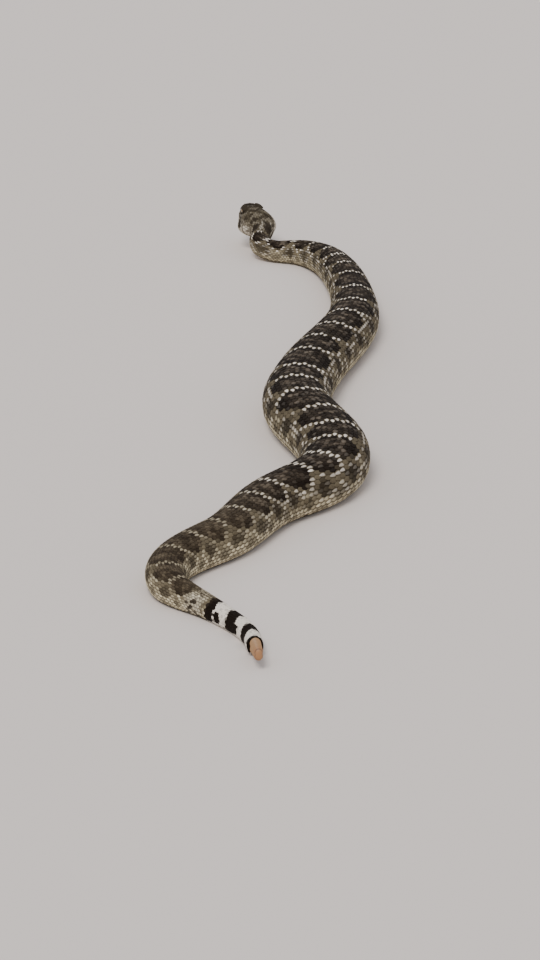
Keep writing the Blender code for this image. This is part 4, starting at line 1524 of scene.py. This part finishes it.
@dataclass
class Tree:
    """A material's node tree, and the one way in which nodes are added to it."""

    name: str

    def __post_init__(self) -> None:
        """Makes the material and finds its shader."""
        self.material = bpy.data.materials.new(self.name)
        self.material.use_nodes = True
        self.shader = self.material.node_tree.nodes["Principled BSDF"]

    def node(self, kind: str, settings: dict | None = None, values: dict | None = None) -> bpy.types.Node:
        """Adds a node of any kind, sets it up and feeds its inputs with values or wires."""
        made = self.material.node_tree.nodes.new(kind)
        for key, value in (settings or {}).items():
            setattr(made, key, value)
        for key, value in (values or {}).items():
            self.feed(made.inputs[key], value)
        return made

    def feed(self, socket: bpy.types.NodeSocket, value: "Wire | float | tuple") -> None:
        """Links a wire to a socket, or sets the socket's own value."""
        if isinstance(value, Wire):
            self.material.node_tree.links.new(value.socket, socket)
        else:
            socket.default_value = value

    def mask(self, name: str) -> "Wire":
        """A mask that the mesh carries."""
        made = self.node("ShaderNodeAttribute", {"attribute_name": name})
        return Wire(self, made.outputs["Fac"])

    def mix(self, share: "Wire | float", low: "Wire | Colour", high: "Wire | Colour") -> "Wire":
        """A colour between low and high."""
        low = low if isinstance(low, Wire) else (*low, 1.0)
        high = high if isinstance(high, Wire) else (*high, 1.0)
        made = self.node("ShaderNodeMix", {"data_type": "RGBA"}, {0: share, 6: low, 7: high})
        return Wire(self, made.outputs[2])

    def noise(self, scale: float, detail: float = 3.0, roughness: float = 0.55) -> "Wire":
        """Noise over the object's own coordinates, about 0 to 1."""
        place = self.node("ShaderNodeTexCoord").outputs["Object"]
        values = {"Vector": Wire(self, place), "Scale": scale, "Detail": detail, "Roughness": roughness}
        return Wire(self, self.node("ShaderNodeTexNoise", None, values).outputs["Fac"])

    def relief(self, height: "Wire", strength: float, distance: float) -> "Wire":
        """Bump from a height."""
        values = {"Height": height, "Strength": strength, "Distance": distance}
        return Wire(self, self.node("ShaderNodeBump", None, values).outputs["Normal"])

    def surface(self, **inputs: "Wire | float | tuple") -> None:
        """Feeds the shader's inputs, whose names have their spaces as underscores."""
        for key, value in inputs.items():
            self.feed(self.shader.inputs[key.replace("_", " ")], value)


@dataclass
class Wire:
    """A value in a node tree that can be used in sums."""

    tree: Tree
    socket: bpy.types.NodeSocket

    def math(self, operation: str, *others: "Wire | float", clamp: bool = False) -> "Wire":
        """A Math node with this value first."""
        values = dict(enumerate([self, *others]))
        made = self.tree.node("ShaderNodeMath", {"operation": operation, "use_clamp": clamp}, values)
        return Wire(self.tree, made.outputs[0])

    def __add__(self, other: "Wire | float") -> "Wire":
        """Sum."""
        return self.math("ADD", other)

    def __radd__(self, other: float) -> "Wire":
        """Sum with the number first."""
        return self.math("ADD", other)

    def __sub__(self, other: "Wire | float") -> "Wire":
        """Difference."""
        return self.math("SUBTRACT", other)

    def __rsub__(self, other: float) -> "Wire":
        """Difference from a number."""
        return (self * -1.0).math("ADD", other)

    def __mul__(self, other: "Wire | float") -> "Wire":
        """Product."""
        return self.math("MULTIPLY", other)

    def __rmul__(self, other: float) -> "Wire":
        """Product with the number first."""
        return self.math("MULTIPLY", other)

    def __truediv__(self, other: "Wire | float") -> "Wire":
        """Quotient."""
        return self.math("DIVIDE", other)

    def __pow__(self, other: "Wire | float") -> "Wire":
        """Power."""
        return self.math("POWER", other)

    def __abs__(self) -> "Wire":
        """Size without sign."""
        return self.math("ABSOLUTE")

    def step(self, low: float, high: float) -> "Wire":
        """Rises from 0 at low to 1 at high with level ends; falls where low is above high."""
        values = {"Value": self, "From Min": low, "From Max": high}
        made = self.tree.node("ShaderNodeMapRange", {"interpolation_type": "SMOOTHSTEP"}, values)
        return Wire(self.tree, made.outputs["Result"])


@dataclass(frozen=True)
class ScaleFinish:
    """Colours of skin and scales. Each scale has one mark, with painted shade at its root and edge."""

    name: str = "scales"
    olive: Colour = (0.096, 0.077, 0.050)
    olive_light: Colour = (0.255, 0.210, 0.135)
    black: Colour = (0.0094, 0.0057, 0.0035)
    brown: Colour = (0.122, 0.095, 0.069)
    rust: Colour = (0.026, 0.018, 0.011)
    umber: Colour = (0.112, 0.086, 0.056)
    white: Colour = (0.88, 0.80, 0.70)
    sand: Colour = (0.46, 0.385, 0.255)
    cream: Colour = (0.84, 0.74, 0.51)
    ash: Colour = (0.80, 0.73, 0.64)
    grey: Colour = (0.050, 0.040, 0.028)
    # Dark brown for the fine specks and for the painted shade at the edges and roots of the scales.
    speck_and_shade: Colour = (0.010, 0.0075, 0.0050)
    sheen: float = 0.05
    dullness: float = 0.70
    grain: float = 0.25
    grain_depth: float = 0.00012
    fine_scale: float = 900.0
    coarse_scale: float = 140.0

    def make(self) -> bpy.types.Material:
        """The material."""
        tree = Tree(self.name)
        dark, core, pale = tree.mask("dark"), tree.mask("core"), tree.mask("pale")
        cream, ash, grey = tree.mask("cream"), tree.mask("ash"), tree.mask("grey")
        warm, light = tree.mask("warm"), tree.mask("light")
        tint, tip, edge = tree.mask("tint"), tree.mask("tip"), tree.mask("edge")
        fine, coarse = tree.noise(self.fine_scale), tree.noise(self.coarse_scale)
        dot = edge.step(0.62, 0.36) * tip.step(0.24, 0.44)
        streak = edge.step(0.92, 0.40) * tip.step(0.30, 0.62)
        ground = tree.mix(light * 0.6 + tint * 0.3 + coarse * 0.3 - 0.15, self.olive, self.olive_light)
        ground = tree.mix(grey, ground, tree.mix(tint * 0.26 + coarse * 0.24, self.grey, self.olive_light))
        flank = tree.mix(cream * (0.10 + 0.90 * streak), ground, self.cream)
        tail = tree.mix(ash, flank, self.ash)
        black = tree.mix(warm * (1.0 - ash), self.black, self.rust)
        middle = tree.mix(warm, self.brown, self.umber)
        blotch = tree.mix(core * coarse.step(0.25, 0.70), black, middle)
        marked = tree.mix(dark, tail, blotch)
        spot = tree.mix(warm * 0.8 + grey * 0.5, self.white, self.sand)
        whole = edge.step(1.0, 0.70)
        spotted = tree.mix(pale * (dot + (whole - dot) * grey), marked, spot)
        speckled = tree.mix(fine.step(0.54, 0.70) * 0.35, spotted, self.speck_and_shade)
        # Painted shade: each scale darkens towards its edge and towards its root, where it tucks under its
        # neighbours; less so on the ash tail.
        shade = (edge.step(0.70, 1.0) * 0.5 + tip.step(0.30, 0.0) * 0.5) * (1.0 - 0.75 * ash)
        colour = tree.mix(shade, speckled, self.speck_and_shade)
        tree.surface(
            Base_Color=colour,
            Roughness=self.dullness - 0.10 * dark + 0.08 * fine,
            Normal=tree.relief(fine, self.grain, self.grain_depth),
            Specular_IOR_Level=self.sheen,
        )
        return tree.material


@dataclass(frozen=True)
class HornFinish:
    """The rattle's horn: tan and redder towards the tip, with painted shade darkening the narrow waists
    between its rings.
    """

    name: str = "horn"
    tan: Colour = (0.37, 0.210, 0.095)
    red: Colour = (0.36, 0.170, 0.072)
    # Dark brown of the painted shade in the waists.
    waist: Colour = (0.060, 0.030, 0.016)
    dullness: float = 0.38
    grain: float = 0.3
    grain_depth: float = 0.0002

    def make(self) -> bpy.types.Material:
        """The material."""
        tree = Tree(self.name)
        age, waist = tree.mask("age"), tree.mask("waist")
        cloud = tree.noise(350.0)
        horn = tree.mix(age.step(0.55, 1.0) * 0.8 + cloud * 0.15, self.tan, self.red)
        # Painted shade: the waist colour darkens the horn where the rings narrow.
        colour = tree.mix(waist.step(0.06, 0.24) * 0.85, horn, self.waist)
        grain = tree.relief(cloud, self.grain, self.grain_depth)
        tree.surface(Base_Color=colour, Roughness=self.dullness + 0.2 * cloud, Normal=grain)
        return tree.material


@dataclass(frozen=True)
class EyeFinish:
    """The eye: a golden brown iris with fine spots, an upright slit pupil and a wet surface."""

    name: str = "eye"
    iris: Colour = (0.34, 0.22, 0.09)
    rim: Colour = (0.075, 0.050, 0.030)
    pupil: Colour = (0.004, 0.003, 0.003)
    slit: tuple[float, float] = (0.20, 0.16)
    dullness: float = 0.22
    wetness: float = 0.03

    def make(self) -> bpy.types.Material:
        """The material."""
        tree = Tree(self.name)
        gaze, across, upright = tree.mask("gaze"), tree.mask("across"), tree.mask("upright")
        spots = tree.noise(1800.0, 5.0)
        iris = tree.mix(spots.step(0.35, 0.65), self.rim, self.iris)
        iris = tree.mix(gaze.step(0.75, 0.35), iris, self.rim)
        slit = abs(across) + 0.30 * upright * upright
        colour = tree.mix(slit.step(*self.slit), iris, self.pupil)
        tree.surface(
            Base_Color=colour,
            Roughness=self.dullness,
            Coat_Weight=1.0,
            Coat_Roughness=self.wetness,
        )
        return tree.material


@dataclass(frozen=True)
class FloorFinish:
    """The plain pale floor."""

    name: str = "floor"
    colour: Colour = (0.71, 0.645, 0.605)
    dullness: float = 0.9
    sheen: float = 0.15

    def make(self) -> bpy.types.Material:
        """The material."""
        tree = Tree(self.name)
        colour = (*self.colour, 1.0)
        tree.surface(Base_Color=colour, Roughness=self.dullness, Specular_IOR_Level=self.sheen)
        return tree.material


@dataclass
class Stage:
    """Floor, light and camera."""

    ground: tuple[float, float] = (-0.00167, -0.14592)
    distance: float = 3.70
    pitch: float = math.radians(20)
    lens: float = 159.5625
    floor_size: float = 30.0
    sky_strength: float = 0.78
    sky_colour: Colour = (0.93, 0.95, 1.0)
    sun_strength: float = 2.1
    sun_colour: Colour = (1.0, 0.97, 0.93)
    sun_spread: float = math.radians(25)
    sun_turn: Point = (math.radians(28), math.radians(-20), math.radians(10))

    def floor(self) -> None:
        """A wide plain plane under the snake."""
        mesh = bpy.data.meshes.new("floor")
        h = self.floor_size / 2
        mesh.from_pydata([(-h, -h, 0), (h, -h, 0), (h, h, 0), (-h, h, 0)], [], [(0, 1, 2, 3)])
        mesh.materials.append(FloorFinish().make())
        obj = bpy.data.objects.new("floor", mesh)
        bpy.context.scene.collection.objects.link(obj)

    def light(self) -> None:
        """A soft sky and a broad sun from the left and behind the camera."""
        world = bpy.data.worlds.new("sky")
        world.use_nodes = True
        back = world.node_tree.nodes["Background"]
        back.inputs["Color"].default_value = (*self.sky_colour, 1.0)
        back.inputs["Strength"].default_value = self.sky_strength
        bpy.context.scene.world = world
        lamp = bpy.data.lights.new("sun", "SUN")
        lamp.energy = self.sun_strength
        lamp.angle = self.sun_spread
        lamp.color = self.sun_colour
        sun = bpy.data.objects.new("sun", lamp)
        sun.rotation_euler = self.sun_turn
        bpy.context.scene.collection.objects.link(sun)

    def camera(self) -> None:
        """The camera looks down at the ground from the tail's side with a long lens."""
        data = bpy.data.cameras.new("camera")
        data.lens = self.lens
        data.sensor_width = 36.0
        data.clip_start, data.clip_end = 0.1, 100.0
        camera = bpy.data.objects.new("camera", data)
        x, y = self.ground
        back, height = self.distance * math.cos(self.pitch), self.distance * math.sin(self.pitch)
        camera.location = (x, y - back, height)
        camera.rotation_euler = (math.pi / 2 - self.pitch, 0, 0)
        bpy.context.scene.collection.objects.link(camera)
        bpy.context.scene.camera = camera


@dataclass
class Rattlesnake:
    """The whole snake, put together and fitted to the frame.

    Each row of pits holds x, y and z of a hollow in the head's frame, its radius and its depth.
    """

    coat_pieces: int = 4
    body_rows: int = 27
    fine_rows: int = 17
    tail: tuple[float, float] = (0.0045, 0.104)
    tail_size: float = 0.92
    head_piece: float = 0.03
    snout: tuple[float, float, float] = (0.0476, 0.0515, 0.0516)
    snout_size: float = 1.3
    eye_hollow: tuple[float, float, float] = (0.002, 0.0034, 0.0030)
    pits: Table = (
        (0.0437, 0.0113, -0.0002, 0.0016, 0.0016),
        (0.0487, 0.0070, 0.0038, 0.0012, 0.0012),
    )

    def __post_init__(self) -> None:
        """Sets up the form, the markings and the coat."""
        self.route = Route()
        self.head = Head(self.route)
        self.form = Form(self.route, self.head)
        self.eyes = [Eye("eye_left", 1.0, self.head), Eye("eye_right", -1.0, self.head)]
        away = self.eyes[0].centre - self.head.origin
        ahead, aside, level = (
            float(axis @ away) for axis in (self.head.ahead, self.head.aside, self.head.up)
        )
        out, *size = self.eye_hollow
        self.form.hollows = [
            Hollow(x, self.form.find(x, y, z), radius, depth)
            for x, y, z, radius, depth in ((ahead, aside + out, level, *size), *self.pits)
        ]
        self.coat = Coat(self.form, Markings(self.form), Unwrap(self.form.length))

    def add(self, name: str, data: MeshData, finish: bpy.types.Material, slot: str) -> bpy.types.Object:
        """Puts a piece in the scene with its finish, rides it on the frame and logs it."""
        obj = data.to_object(name)
        obj.data.materials.append(finish)
        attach(obj, "root")
        triangles = int((data.sizes - 2).sum())
        LOG.info("%s: %d vertices, %d triangles", name, len(data.verts), triangles)
        return obj

    def build(self) -> None:
        """Builds every piece in order, from the skin outwards."""
        scales = ScaleFinish().make()
        flesh = ["head", "lower_jaw", "neck", *[f"body_{k}" for k in range(1, 9)], "tail"]
        skin = self.add("skin", Skin(self.coat).build(), scales, "skin_back")
        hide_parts(*flesh)
        joint = self.route.length
        tail, rear = self.tail
        cuts = np.linspace(rear, joint, self.coat_pieces + 1)[:-1]
        ends = [*cuts, joint - self.head_piece, joint + self.head.length]
        for k, (start, end) in enumerate(zip(ends, ends[1:]), 1):
            part = BodyScales(self.coat, self.body_rows, start, end)
            self.add(f"scales_{k}", part.build(), scales, "skin_back")
        low, high, reach = self.snout
        place = (joint + low, joint + high, self.snout_size)
        snout = BodyScales(self.coat, self.fine_rows, *place, Profile.SMOOTH, reach)
        tail_scales = BodyScales(self.coat, self.fine_rows, tail, rear, self.tail_size)
        for name, part, slot in (
            ("scales_snout", snout, "skin_head"),
            ("scales_tail", tail_scales, "skin_tail"),
            ("scutes_belly", BellyScutes(self.coat), "skin_back"),
            ("plates_head", HeadPlates(self.coat), "skin_head"),
            ("shields_head", HeadShields(self.coat), "skin_head"),
            ("rims_head", Rims(self.coat, self.eyes), "skin_head"),
        ):
            self.add(name, part.build(), scales, slot)
        wet = EyeFinish().make()
        for eye in self.eyes:
            ball = self.add(f"{eye.node}_ball", eye.build(), wet, "eye")
            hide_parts(eye.node)
        rattle = self.add("rattle_horn", Rattle(self.route).build(), HornFinish().make(), "horn")
        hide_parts("rattle")


def main() -> None:
    """Builds the snake and its stage."""
    logging.basicConfig(level=logging.INFO, format="%(message)s")
    Rattlesnake().build()
    stage = Stage()
    stage.floor()
    stage.light()
    stage.camera()


if __name__ == "__main__":
    main()
